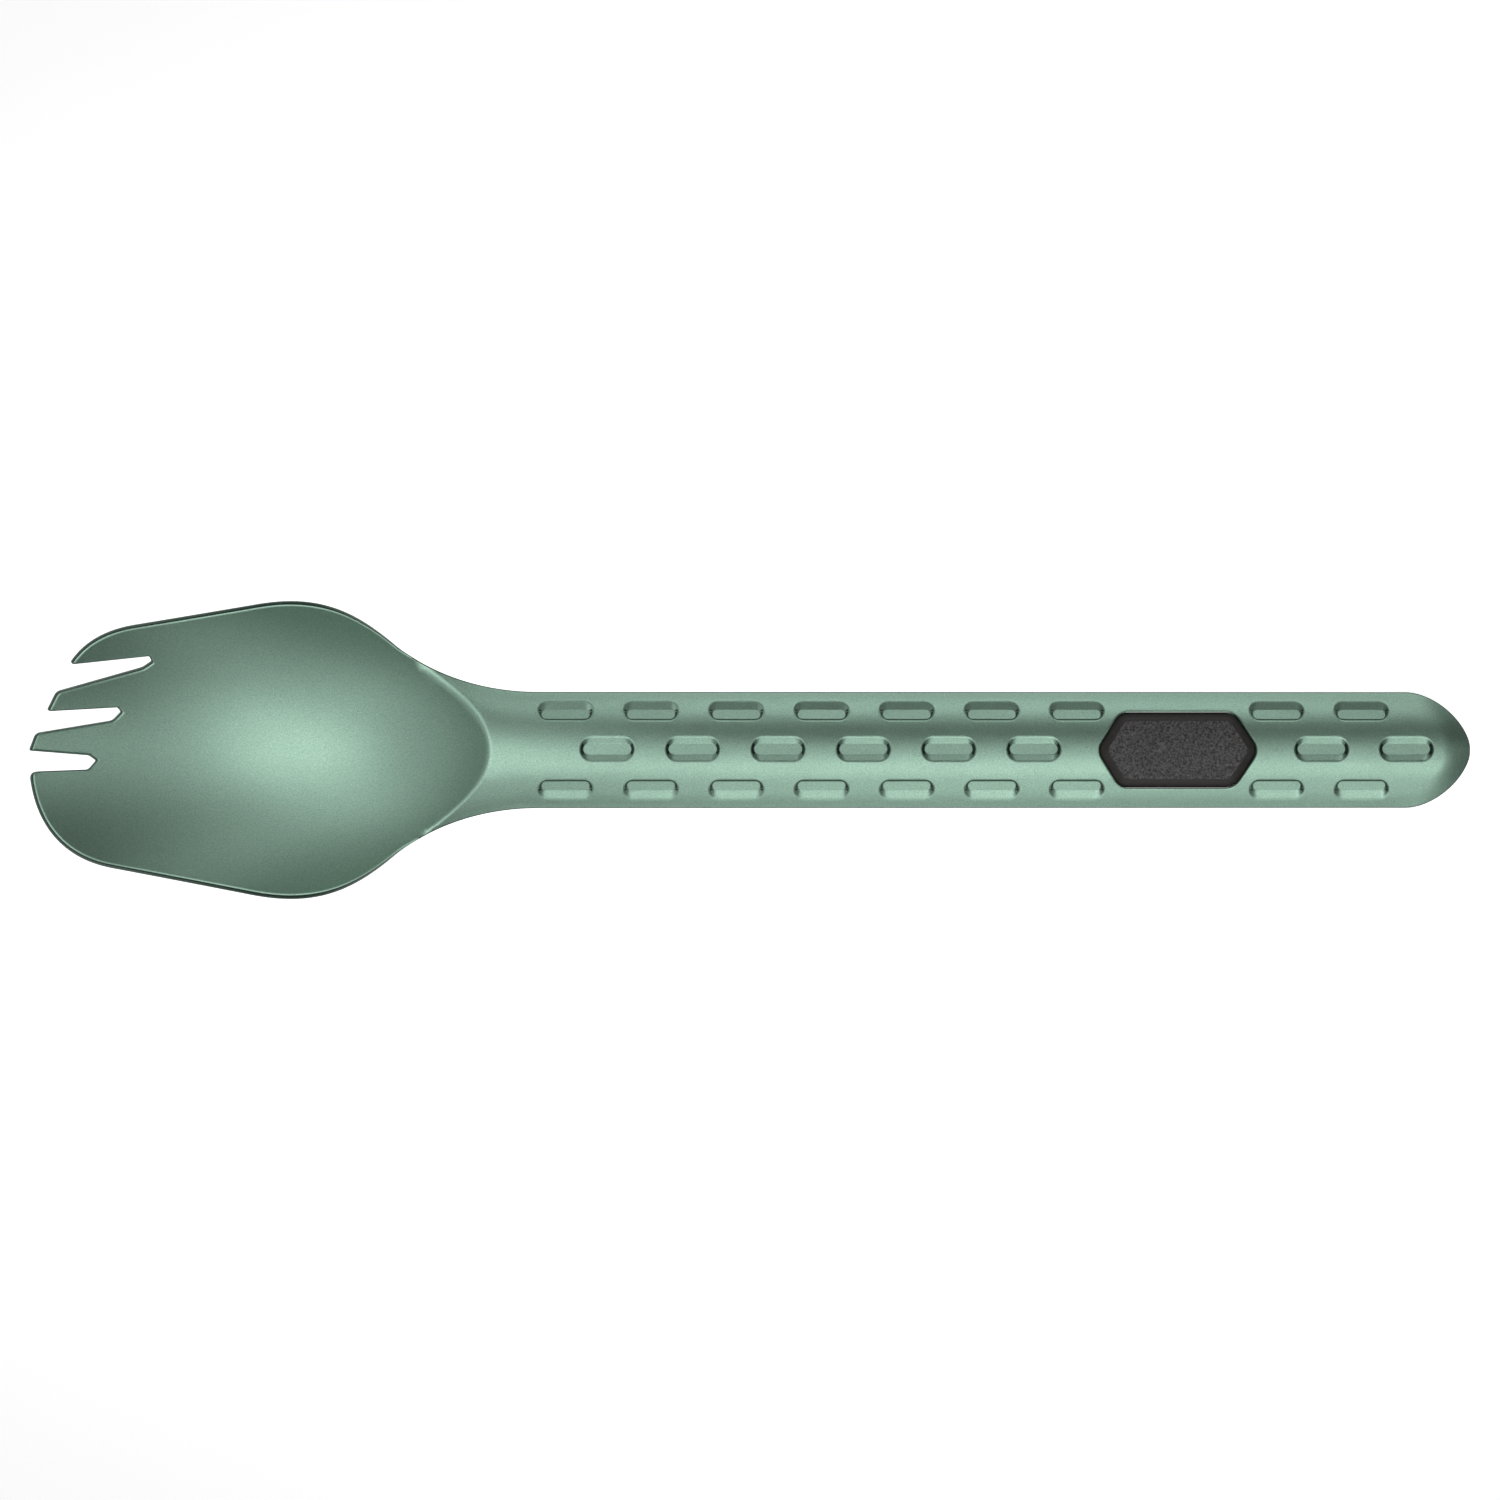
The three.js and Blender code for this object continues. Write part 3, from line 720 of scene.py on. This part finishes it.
def clear_of(points, targets, limit):
    """Which points have no target within the limit."""
    clear = np.ones(len(points), bool)
    for start in range(0, len(points), POINTS_AT_ONCE):
        part = slice(start, start + POINTS_AT_ONCE)
        gaps = ((points[part, None, :] - targets[None, :, :]) ** 2).sum(axis=2)
        clear[part] = gaps.min(axis=1) > limit**2
    return clear


# Spork

def edge_sine(slope, x):
    """How far the back of the sheet stands out past its front where its edge is square to the sheet."""
    return SHEET * np.cos(slope) * np.sin(slope) * bowl_share(x)


def front_edge(slope, x):
    return np.maximum(edge_sine(slope, x), 0)


def back_edge(slope, x):
    return np.maximum(-edge_sine(slope, x), 0)


def front_inner(slope, x):
    return front_edge(slope, x) + EDGE_ROUND * np.cos(slope)


def back_inner(slope, x):
    return back_edge(slope, x) + EDGE_ROUND * np.cos(slope)


def edge_strip(front_ring, front_corner, back_corner, back_ring):
    """Rings of a sheet edge from the front face to the back, with both corners rounded."""
    drop = back_corner - front_corner
    share = (EDGE_ROUND / np.linalg.norm(drop, axis=1))[:, None]
    end = front_corner + drop * share
    begin = back_corner - drop * share
    rings = [front_ring]
    for t in FRONT_ROUND_STEPS:
        rings.append((1 - t) ** 2 * front_ring + 2 * t * (1 - t) * front_corner + t * t * end)
    for t in BACK_ROUND_STEPS:
        rings.append((1 - t) ** 2 * begin + 2 * t * (1 - t) * back_corner + t * t * back_ring)
    rings.append(back_ring)
    return rings


def throat_ridge():
    """Points of the ridge where the end wall of the bowl meets the arch of the handle."""
    y = np.linspace(-throat_half, throat_half, RIDGE_POINTS)
    low = np.full(RIDGE_POINTS, THROAT_SEARCH[0])
    high = np.full(RIDGE_POINTS, THROAT_SEARCH[1])
    for _ in range(SOLVE_STEPS):
        middle = (low + high) / 2
        in_bowl = bowl_height(middle, y) < handle_height(middle, y)
        low = np.where(in_bowl, middle, low)
        high = np.where(in_bowl, high, middle)
    return np.column_stack((low, y))


def ridge_gap(points):
    """Height between the bowl and the arch of the handle, each carried on past the throat."""
    return np.abs(bowl_height(points[:, 0], points[:, 1]) - handle_height(points[:, 0], points[:, 1]))


def loose_points(outer, window_ring, dimples):
    """Plan points between the rings: closer together where the sheet bends more."""
    ridge_line = throat_ridge()
    rows = np.vstack([ridge_line + (step, 0) for step in RIDGE_ROWS])
    across = (-handle_half, handle_half)
    nose = nose_start - SHAFT_MARGIN
    throat = grid(THROAT_SPAN, (-throat_half, throat_half), FINE_SPACING, FINE_SPACING)
    throat = throat[ridge_gap(throat) < RIDGE_BAND]
    throat = throat[clear_of(throat, rows, POINT_CLEARANCE)]
    bowl = grid((bowl_front, BOWL_GRID_END), (-BOWL_GRID_HALF, BOWL_GRID_HALF), *BOWL_SPACING)
    bowl = bowl[ridge_gap(bowl) > RIDGE_BAND]
    shaft = grid((SHAFT_MARGIN, nose), across, *SHAFT_SPACING)
    end = grid((nose, HANDLE_LENGTH), across, FINE_SPACING, FINE_SPACING)
    points = np.vstack((rows, throat, bowl, shaft, end))
    points = points[inside(points, outer)]
    points = points[~inside(points, window_ring)]
    points = points[clear_of(points, np.vstack((outer, window_ring)), EDGE_CLEARANCE)]
    for rings in dimples:
        mouth = rings[-1][0][:, :2]
        low = mouth.min(axis=0) - DIMPLE_MARGIN
        high = mouth.max(axis=0) + DIMPLE_MARGIN
        spots = np.where(((points > low) & (points < high)).all(axis=1))[0]
        bad = inside(points[spots], mouth) | ~clear_of(points[spots], mouth, POINT_CLEARANCE)
        points = np.delete(points, spots[bad], axis=0)
    return points


def upper_face(outer, window_inner, dimples):
    """Points, normals and triangles of the upper face: outline, window, dimples, then the points between."""
    loose = loose_points(outer, window_inner, dimples)
    pressed = [ring for rings in dimples for ring in rings]
    plans = [outer, window_inner] + [ring[:, :2] for ring, _ in pressed]
    triangles = triangulate(plans, loose, [1])

    def on_arch(plan):
        return np.column_stack((plan, upper_height(plan[:, 0], plan[:, 1])))

    plain = np.vstack((outer, window_inner))
    points = np.vstack((on_arch(plain), *(ring for ring, _ in pressed), on_arch(loose)))
    normals = np.vstack((
        upper_normal(plain[:, 0], plain[:, 1]),
        *(normal for _, normal in pressed),
        upper_normal(loose[:, 0], loose[:, 1]),
    ))
    return points, normals, triangles


def lower_face(front, front_normals):
    """Points and normals of the lower face: square to the sheet on the bowl, straight below on the handle."""
    x, y, height = front.T
    lean = upper_normal(x, y, BACK_THROAT_ROUND)
    share = bowl_share(x)
    thickness = SHEET * (share * lean[:, 2] ** 2 + (1 - share) * arch_steepness(x, y))
    back = np.column_stack((
        front[:, :2] - lean[:, :2] * (share * SHEET * lean[:, 2])[:, None],
        height - thickness,
    ))
    sunk = (upper_height(x, y) - height > SUNK)[:, None]
    return back, np.where(sunk, -front_normals, -lean)


def outer_edge(front_ring):
    """Rings of the edge along the outline, and the slope of the sheet there."""
    plan = outline_loop(front_edge)
    x, y = plan.T
    slope = edge_slope(plan, outward(plan, True))
    share = bowl_share(x)
    top = upper_height(x, y)
    bottom = top - SHEET * (share * np.cos(slope) ** 2 + (1 - share) * arch_steepness(x, y))
    front_corner = np.column_stack((plan, top))
    back_corner = np.column_stack((outline_loop(back_edge), bottom))
    back_ring = np.column_stack((outline_loop(back_inner), bottom - EDGE_ROUND * np.sin(slope)))
    return edge_strip(front_ring, front_corner, back_corner, back_ring), slope


def window_edge(window, front_ring, back_ring):
    """Rings of the edge of the window."""
    x, y = window.T
    top = upper_height(x, y)
    upright = upper_normal(x, y)[:, 2]
    front_corner = np.column_stack((window, top))
    back_corner = np.column_stack((window, top - SHEET / upright))
    return edge_strip(front_ring, front_corner, back_corner, back_ring)


def steep_walls(points, triangles, start, dimples):
    """Which triangles lie on the steep walls of the dimples, whose rings begin at the point start."""
    on_wall = np.zeros(len(points), bool)
    for rings in dimples:
        count = len(rings[0][0])
        on_wall[start + count:start + 3 * count] = True
        start += len(rings) * count
    a, b, c = (points[triangles[:, k]] for k in range(3))
    way = np.cross(b - a, c - a)
    upright = way[:, 2] / np.linalg.norm(way, axis=1)
    return on_wall[triangles].all(axis=1) & (upright < math.cos(math.radians(CREASE_SLOPE)))


def build_spork():
    outer = outline_loop(front_inner)
    window, counts = hexagon(0)
    window_inner, _ = hexagon(-EDGE_ROUND, counts)
    window = window + (window_x, 0)
    window_inner = window_inner + (window_x, 0)
    dimples = [dimple_rings(x, row) for x, row in dimple_places()]
    front, normals, triangles = upper_face(outer, window_inner, dimples)
    back, back_normals = lower_face(front, normals)
    count = len(outer)
    rims = count + len(window_inner)
    strip, slope = outer_edge(front[:count])
    window_strip = window_edge(window, front[count:rims], back[count:rims])
    back[:count] = strip[-1]

    total = len(front)
    points = [front, back]
    directions = [normals, back_normals]
    faces = [tuple(t) for t in triangles]
    faces += [(a + total, c + total, b + total) for a, b, c in triangles]
    rim_normals = np.where((slope < 0)[:, None], normals[:count], 0)
    start = 2 * total
    for first, rings, faces_in in ((0, strip, False), (count, window_strip, True)):
        size = len(rings[0])
        last = first
        bands = []
        for ring in rings[1:-1]:
            points.append(ring)
            directions.append(rim_normals if start == 2 * total else np.zeros((size, 3)))
            bands += band(last, start, size)
            last = start
            start += size
        bands += band(last, total + first, size)
        faces += [face[::-1] for face in bands] if faces_in else bands
    piece = make_piece("spork_sheet", np.vstack(points), faces, np.vstack(directions))

    shade = np.zeros(len(faces), int)
    # Painted shade: triangles on the steep walls of the dimples get the dark crease material.
    shade[:len(triangles)] = CREASE_SHADE_NUMBER * steep_walls(front, triangles, rims, dimples)
    # Painted shade on the cut edge: its bands are dark from the third band where the sheet rises towards the
    # outline, and from the second band elsewhere.
    first_shaded_band = np.where(slope > 0, 2, 1)
    for k in range(len(strip) - 1):
        begin = 2 * len(triangles) + k * count
        shade[begin:begin + count] = CUT_EDGE_SHADE_NUMBER * (k >= first_shaded_band)
    piece.data.polygons.foreach_set("material_index", shade)
    return piece


spork = build_spork()
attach(spork, "spork")
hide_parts("spork")


# Tool plate

def tool_outline():
    half = TOOL_WIDTH / 2
    front = -TOOL_FRONT
    shoulder = front + DRIVER_LENGTH
    beak = shoulder + DRIVER_SHOULDER + BEAK_LENGTH
    opener_end = beak + OPENER_LENGTH
    opener_top = -half + OPENER_DEPTH
    corners = (
        (tool_rear, -PRY_WIDTH / 2),
        (tool_rear, PRY_WIDTH / 2),
        (tool_rear - PRY_LENGTH, half),
        (shoulder + DRIVER_SHOULDER, half),
        (shoulder, DRIVER_WIDTH / 2),
        (front, DRIVER_WIDTH / 2),
        (front, -DRIVER_WIDTH / 2),
        (shoulder, -DRIVER_WIDTH / 2),
        (shoulder + DRIVER_SHOULDER, -half),
        (beak, -half),
        (beak, opener_top),
        (opener_end, opener_top),
        (opener_end, -half + TOOTH_HEIGHT),
        (opener_end - OPENER_TOOTH, -half + TOOTH_HEIGHT),
        (opener_end, -half),
        (tool_rear - PRY_LENGTH, -half),
    )
    return rounded_polygon(corners, TOOL_CORNER, TOOL_SPACING)[0]


def tool_underside(x):
    """Height of the tool's back, which rises towards the pry tip."""
    rise = (TOOL_THICKNESS - PRY_EDGE) / PRY_LENGTH
    return tool_back + rise * np.maximum(x - (tool_rear - PRY_LENGTH), 0)


def build_tool():
    outline = tool_outline()
    slot = stadium(STEM_LENGTH + 2 * FIT, STEM_WIDTH + 2 * FIT)
    bore = stadium(FLANGE_LENGTH + 2 * FIT, FLANGE_WIDTH + 2 * FIT)
    crease_y = TOOL_WIDTH * np.linspace(-PRY_CREASE_REACH, PRY_CREASE_REACH, PRY_CREASE_POINTS)
    crease = np.column_stack((np.full(PRY_CREASE_POINTS, tool_rear - PRY_LENGTH), crease_y))
    bore_floor = flange_top + FIT
    rings = {
        "top_out": (outline, np.full(len(outline), tool_top)),
        "top_in": (slot, np.full(len(slot), tool_top)),
        "floor_in": (slot, np.full(len(slot), bore_floor)),
        "floor_out": (bore, np.full(len(bore), bore_floor)),
        "back_in": (bore, np.full(len(bore), tool_back)),
        "back_out": (outline, tool_underside(outline[:, 0])),
        "crease": (crease, tool_underside(crease[:, 0])),
    }
    points = []
    starts = {}
    total = 0
    for name, (plan, z) in rings.items():
        starts[name] = total
        points.append(np.column_stack((plan[:, 0] + window_x, plan[:, 1], z)))
        total += len(plan)
    faces = []

    def cap(outer, inner, loose, flip):
        plans = [rings[outer][0], rings[inner][0]]
        extra = rings[loose][0] if loose else np.zeros((0, 2))
        index = np.concatenate([
            starts[outer] + np.arange(len(plans[0])),
            starts[inner] + np.arange(len(plans[1])),
            (starts[loose] if loose else 0) + np.arange(len(extra)),
        ])
        made = index[triangulate(plans, extra, [1])]
        faces.extend(tuple(t[::-1]) if flip else tuple(t) for t in made)

    cap("top_out", "top_in", None, False)
    cap("floor_out", "floor_in", None, True)
    cap("back_out", "back_in", "crease", True)
    faces += band(starts["top_out"], starts["back_out"], len(outline))
    faces += [f[::-1] for f in band(starts["top_in"], starts["floor_in"], len(slot))]
    faces += [f[::-1] for f in band(starts["floor_out"], starts["back_in"], len(bore))]
    piece = make_piece("steel_tool", np.vstack(points), faces)
    piece.data.set_sharp_from_angle(angle=math.radians(TOOL_SHARP_ANGLE))
    bevel = piece.modifiers.new("edges", "BEVEL")
    bevel.width = TOOL_BEVEL / 1000
    bevel.segments = TOOL_BEVEL_SEGMENTS
    bevel.limit_method = "ANGLE"
    bevel.angle_limit = math.radians(TOOL_BEVEL_ANGLE)
    return piece


tool = build_tool()
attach(tool, "multi_tool")
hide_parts("tool_plate")


# Peg

def level(plan, z):
    return np.full(len(plan), z)


def arched(plan, z):
    return z - arch_drop(plan[:, 1])


def build_peg():
    """Hexagonal head with a sloping border and a stippled face, on a stem with a back flange."""
    outer, counts = hexagon(PEG_GAP)
    soft, _ = hexagon(PEG_GAP + PEG_EDGE_ROUND * PEG_EDGE_IN, counts)
    border, _ = hexagon(PEG_GAP + PEG_EDGE_ROUND, counts)
    crest_out, _ = hexagon(PEG_GAP + PEG_BORDER - PEG_CREST, counts)
    crest_in, _ = hexagon(PEG_GAP + PEG_BORDER + PEG_CREST, counts)
    rim = PEG_PROUD - PEG_BORDER_DROP
    crest_drop = PEG_BORDER_DROP * PEG_CREST / PEG_BORDER
    under = tool_top + FIT
    stem = stadium(STEM_LENGTH, STEM_WIDTH)
    flange = stadium(FLANGE_LENGTH, FLANGE_WIDTH)
    flange_soft = stadium(FLANGE_LENGTH - 2 * FLANGE_CHAMFER_IN, FLANGE_WIDTH - 2 * FLANGE_CHAMFER_IN)
    head = [
        (outer, level(outer, under)),
        (outer, arched(outer, rim - PEG_EDGE_ROUND)),
        (soft, arched(soft, rim - PEG_EDGE_ROUND * PEG_EDGE_DOWN)),
        (border, arched(border, rim + PEG_BORDER_LIFT)),
        (crest_out, arched(crest_out, PEG_PROUD - crest_drop)),
        (crest_in, arched(crest_in, PEG_PROUD)),
    ]
    foot = [
        (stem, level(stem, under)),
        (stem, level(stem, flange_top)),
        (flange, level(flange, flange_top)),
        (flange, level(flange, tool_back + FLANGE_CHAMFER_UP)),
        (flange_soft, level(flange_soft, tool_back)),
    ]
    along = (-WINDOW_LENGTH / 2, WINDOW_LENGTH / 2)
    across = (-WINDOW_WIDTH / 2, WINDOW_WIDTH / 2)
    face = grid(along, across, STIPPLE_PITCH, STIPPLE_PITCH)
    face = face[inside(face, crest_in)]
    face = face[clear_of(face, crest_in, PANEL_CLEARANCE)]
    bumps = np.array([noise.noise((x / STIPPLE_GRAIN, y / STIPPLE_GRAIN, STIPPLE_LAYER)) for x, y in face])
    rings = head + foot + [(face, arched(face, PEG_PROUD - PEG_PANEL_DROP) + STIPPLE * bumps)]
    starts = []
    points = []
    total = 0
    for plan, z in rings:
        starts.append(total)
        points.append(np.column_stack((plan[:, 0] + window_x, plan[:, 1], z)))
        total += len(plan)

    def cap(ring_numbers, loose, holes):
        """Triangles over some of the rings, and over loose points of the last of them."""
        outlines = ring_numbers[:-1] if loose else ring_numbers
        index = np.concatenate([starts[k] + np.arange(len(rings[k][0])) for k in ring_numbers])
        extra = rings[ring_numbers[-1]][0] if loose else np.zeros((0, 2))
        return index[triangulate([rings[k][0] for k in outlines], extra, holes)]

    stem_top = len(head)
    face_number = len(rings) - 1
    faces = []
    for k in range(stem_top - 1):
        faces += [f[::-1] for f in band(starts[k], starts[k + 1], len(outer))]
    panel = [tuple(t) for t in cap((stem_top - 1, face_number), True, [])]
    panel_start = len(faces)
    faces += panel
    for k in range(stem_top, face_number - 1):
        faces += band(starts[k], starts[k + 1], len(stem))
    faces += [tuple(t[::-1]) for t in cap((0, stem_top), False, [1])]
    faces += [tuple(t[::-1]) for t in cap((face_number - 1,), False, [])]
    piece = make_piece("rubber_peg", np.vstack(points), faces)
    piece.data.set_sharp_from_angle(angle=math.radians(PEG_SHARP_ANGLE))
    for k in range(panel_start, panel_start + len(panel)):
        piece.data.polygons[k].material_index = STIPPLE_NUMBER
    return piece


peg = build_peg()
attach(peg, "multi_tool")
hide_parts("release_peg")


# Materials

def new_material(name):
    material = bpy.data.materials.new(name)
    material.use_nodes = True
    tree = material.node_tree
    return material, tree, tree.nodes["Principled BSDF"]


def add_node(tree, kind, **inputs):
    node = tree.nodes.new(kind)
    for key, value in inputs.items():
        node.inputs[key.replace("_", " ")].default_value = value
    return node


def object_place(tree):
    return tree.nodes.new("ShaderNodeTexCoord").outputs["Object"]


def noise_field(tree, place, scale, detail, roughness=0.5):
    node = add_node(tree, "ShaderNodeTexNoise", Scale=scale, Detail=detail, Roughness=roughness)
    tree.links.new(place, node.inputs["Vector"])
    return node.outputs["Fac"]


def tint(tree, shader, field, places, shades):
    """Base colour from the dark to the pale shade as the field goes from the first place to the second."""
    ramp = tree.nodes.new("ShaderNodeValToRGB")
    for element, place, shade in zip(ramp.color_ramp.elements, places, shades):
        element.position = place
        element.color = (*shade, 1)
    tree.links.new(field, ramp.inputs["Fac"])
    tree.links.new(ramp.outputs["Color"], shader.inputs["Base Color"])


def roughen(tree, shader, field, low, high):
    node = add_node(tree, "ShaderNodeMapRange", To_Min=low, To_Max=high)
    tree.links.new(field, node.inputs["Value"])
    tree.links.new(node.outputs["Result"], shader.inputs["Roughness"])


def emboss(tree, shader, field, strength, distance):
    bump = add_node(tree, "ShaderNodeBump", Strength=strength, Distance=distance)
    tree.links.new(field, bump.inputs["Height"])
    tree.links.new(bump.outputs["Normal"], shader.inputs["Normal"])


def coated_sheet():
    """Bead-blasted sheet with a satin sage-green anodised coat."""
    material, tree, shader = new_material("sage_anodised")
    place = object_place(tree)
    grain = noise_field(tree, place, scale=6500, detail=2.0, roughness=0.6)
    cloud = noise_field(tree, place, scale=120, detail=3.0)
    tint(tree, shader, grain, places=(0.3, 0.7), shades=SAGE)
    roughen(tree, shader, cloud, low=0.38, high=0.44)
    emboss(tree, shader, grain, strength=0.6, distance=0.00003)
    shader.inputs["Metallic"].default_value = 1.0
    return material


def painted_shade_metal(name, shades, scale, dullest):
    """Metal with a higher roughness whose dark colour is painted shade, for the cut edge of the sheet and for
    the steep pressed walls of the dimples.
    """
    material, tree, shader = new_material(name)
    grain = noise_field(tree, object_place(tree), scale=scale, detail=2.0, roughness=0.6)
    tint(tree, shader, grain, places=(0.3, 0.7), shades=shades)
    roughen(tree, shader, grain, low=0.4, high=dullest)
    shader.inputs["Metallic"].default_value = 1.0
    return material


def tool_steel():
    """Steel ground along its length, with a satin finish."""
    material, tree, shader = new_material("satin_steel")
    place = object_place(tree)
    stretch = add_node(tree, "ShaderNodeMapping", Scale=(60, 4200, 4200))
    tree.links.new(place, stretch.inputs["Vector"])
    lines = noise_field(tree, stretch.outputs["Vector"], scale=1.0, detail=3.0, roughness=0.6)
    cloud = noise_field(tree, place, scale=90, detail=2.0)
    tint(tree, shader, lines, places=(0.25, 0.75), shades=STEEL)
    roughen(tree, shader, cloud, low=0.28, high=0.4)
    emboss(tree, shader, lines, strength=0.25, distance=0.00002)
    shader.inputs["Metallic"].default_value = 1.0
    return material


def peg_rubber(name, shades, depth):
    """Black rubber with a fine grain."""
    material, tree, shader = new_material(name)
    grain = noise_field(tree, object_place(tree), scale=3200, detail=2.0, roughness=0.7)
    tint(tree, shader, grain, places=(0.35, 0.65), shades=shades)
    roughen(tree, shader, grain, low=0.5, high=0.75)
    emboss(tree, shader, grain, strength=0.5, distance=depth)
    return material


spork.data.materials.append(coated_sheet())
# Second and third materials: painted shade on the cut edge and on the steep walls of the dimples.
spork.data.materials.append(painted_shade_metal("cut_edge_painted_shade", CUT_EDGE_PAINTED_SHADE, scale=3500, dullest=0.55))
spork.data.materials.append(painted_shade_metal("crease_painted_shade", CREASE_PAINTED_SHADE, scale=5000, dullest=0.5))
tool.data.materials.append(tool_steel())
peg.data.materials.append(peg_rubber("smooth_rubber", SMOOTH_RUBBER, depth=0.00002))
peg.data.materials.append(peg_rubber("stippled_rubber", STIPPLED_RUBBER, depth=0.00008))


# Floor, light and camera, in metres

FLOOR_REACH = 3.0
FLOOR_GREY = 0.85
FLOOR_GLOW = 0.86
WORLD_LIGHT = 0.07


def math_node(tree, operation, first, second):
    node = tree.nodes.new("ShaderNodeMath")
    node.operation = operation
    tree.links.new(first, node.inputs[0])
    if isinstance(second, float):
        node.inputs[1].default_value = second
    else:
        tree.links.new(second, node.inputs[1])
    return node.outputs[0]


def floor_material():
    """White floor. Rays that look at it get most of their white from emission, and its shadow stays."""
    material = bpy.data.materials.new("white_floor")
    material.use_nodes = True
    tree = material.node_tree
    tree.nodes.clear()
    output = tree.nodes.new("ShaderNodeOutputMaterial")
    path = tree.nodes.new("ShaderNodeLightPath").outputs
    seen = math_node(tree, "MAXIMUM", path["Is Camera Ray"], path["Is Glossy Ray"])
    through = math_node(tree, "MAXIMUM", seen, path["Is Transmission Ray"])
    strength = math_node(tree, "MULTIPLY", through, FLOOR_GLOW)
    glow = tree.nodes.new("ShaderNodeEmission")
    tree.links.new(strength, glow.inputs["Strength"])
    matt = add_node(tree, "ShaderNodeBsdfDiffuse", Color=(FLOOR_GREY, FLOOR_GREY, FLOOR_GREY, 1))
    both = tree.nodes.new("ShaderNodeAddShader")
    tree.links.new(glow.outputs[0], both.inputs[0])
    tree.links.new(matt.outputs[0], both.inputs[1])
    tree.links.new(both.outputs[0], output.inputs["Surface"])
    return material


def build_floor():
    mesh = bpy.data.meshes.new("floor")
    reach = FLOOR_REACH
    corners = [(-reach, -reach, 0), (reach, -reach, 0), (reach, reach, 0), (-reach, reach, 0)]
    mesh.from_pydata(corners, [], [(0, 1, 2, 3)])
    mesh.materials.append(floor_material())
    floor = bpy.data.objects.new("floor", mesh)
    bpy.context.scene.collection.objects.link(floor)


build_floor()


def area_lamp(name, place, target, size, radiance, half_spread):
    """Rectangular soft lamp that faces a target, given by the radiance of its face seen straight on and by
    the half spread of its beam in degrees."""
    data = bpy.data.lights.new(name, "AREA")
    data.shape = "RECTANGLE"
    data.size, data.size_y = size
    half = math.radians(half_spread)
    data.spread = 2 * half
    data.energy = radiance * math.pi * size[0] * size[1] * (1 - half / math.tan(half))
    lamp = bpy.data.objects.new(name, data)
    depth = (Vector(place) - Vector(target)).normalized()
    up = depth.cross(Vector((1, 0, 0))).normalized()
    side = up.cross(depth).normalized()
    lamp.matrix_world = Matrix((
        (side.x, up.x, depth.x, place[0]),
        (side.y, up.y, depth.y, place[1]),
        (side.z, up.z, depth.z, place[2]),
        (0, 0, 0, 1),
    ))
    bpy.context.scene.collection.objects.link(lamp)


BOWL_MIDDLE = Vector((-0.062, 0.0, 0.004))
BOWL_LAMPS_AWAY = 0.09
BOWL_LAMPS_SPREAD = 40
HANDLE_LAMPS_AWAY = 0.25
HANDLE_LAMPS_START = -0.03
HANDLE_LAMPS_SPREAD = 22


def lamp_towards(name, middle, away, tilt, azimuth, size, radiance, half_spread):
    """Soft lamp over a middle point, tilted from straight up towards an azimuth from +X to +Y."""
    tilt, azimuth = math.radians(tilt), math.radians(azimuth)
    way = Vector((math.sin(tilt) * math.cos(azimuth), math.sin(tilt) * math.sin(azimuth), math.cos(tilt)))
    area_lamp(name, middle + way * away, middle, size, radiance, half_spread)


def handle_lamp(name, tilt, azimuth, end, width, radiance):
    """Long lamp beside the handle, from the throat to an end that is given along X."""
    middle = Vector(((HANDLE_LAMPS_START + end) / 2, 0, 0))
    size = (end - HANDLE_LAMPS_START, width)
    lamp_towards(name, middle, HANDLE_LAMPS_AWAY, tilt, azimuth, size, radiance, HANDLE_LAMPS_SPREAD)


def bowl_lamp(name, tilt, azimuth, size, radiance, away=BOWL_LAMPS_AWAY, half_spread=BOWL_LAMPS_SPREAD):
    lamp_towards(name, BOWL_MIDDLE, away, tilt, azimuth, size, radiance, half_spread)


# Tilt and azimuth in degrees, then the end or the size, the width of a handle lamp, and the radiance

handle_lamp("handle_near_low", 58, -90, 0.21, 0.18, 2.5)
handle_lamp("handle_near_high", 25, -90, 0.2, 0.1, 4.5)
handle_lamp("handle_over", 1, -90, 0.16, 0.08, 2.1)
handle_lamp("handle_far_low", 62, 90, 0.135, 0.2, 2.8)

bowl_lamp("bowl_over", 6, 165, (0.09, 0.1), 2.05)
bowl_lamp("bowl_far", 45, 122, (0.09, 0.045), 1.05)
bowl_lamp("bowl_near", 45, -122, (0.09, 0.045), 0.9)
bowl_lamp("bowl_back", 50, 0, (0.16, 0.3), 3.5, away=0.45, half_spread=12)
bowl_lamp("bowl_front_low", 54, 180, (0.05, 0.16), 0.7)

world = bpy.data.worlds.new("studio")
bpy.context.scene.world = world
world.use_nodes = True
background = world.node_tree.nodes["Background"]
background.inputs["Color"].default_value = (1, 1, 1, 1)
background.inputs["Strength"].default_value = WORLD_LIGHT

FRAME_PIXELS = 1500
OBJECT_PIXELS = 1441.7
LENS = 200.0
SENSOR = 36.0
CENTRE_SHIFT = 0.0002
CLIP = (0.01, 20.0)
camera_data = bpy.data.cameras.new("camera")
camera_data.lens = LENS
camera_data.sensor_width = SENSOR
camera = bpy.data.objects.new("camera", camera_data)
bpy.context.scene.collection.objects.link(camera)
bpy.context.scene.camera = camera
frame_width = (cad_high.x - cad_low.x) * FRAME_PIXELS / OBJECT_PIXELS
camera.location = (
    (cad_low.x + cad_high.x) / 2 - CENTRE_SHIFT,
    0,
    frame_width * LENS / SENSOR + cad_high.z / 2,
)
camera_data.clip_start, camera_data.clip_end = CLIP

bpy.context.scene.view_settings.view_transform = "Standard"
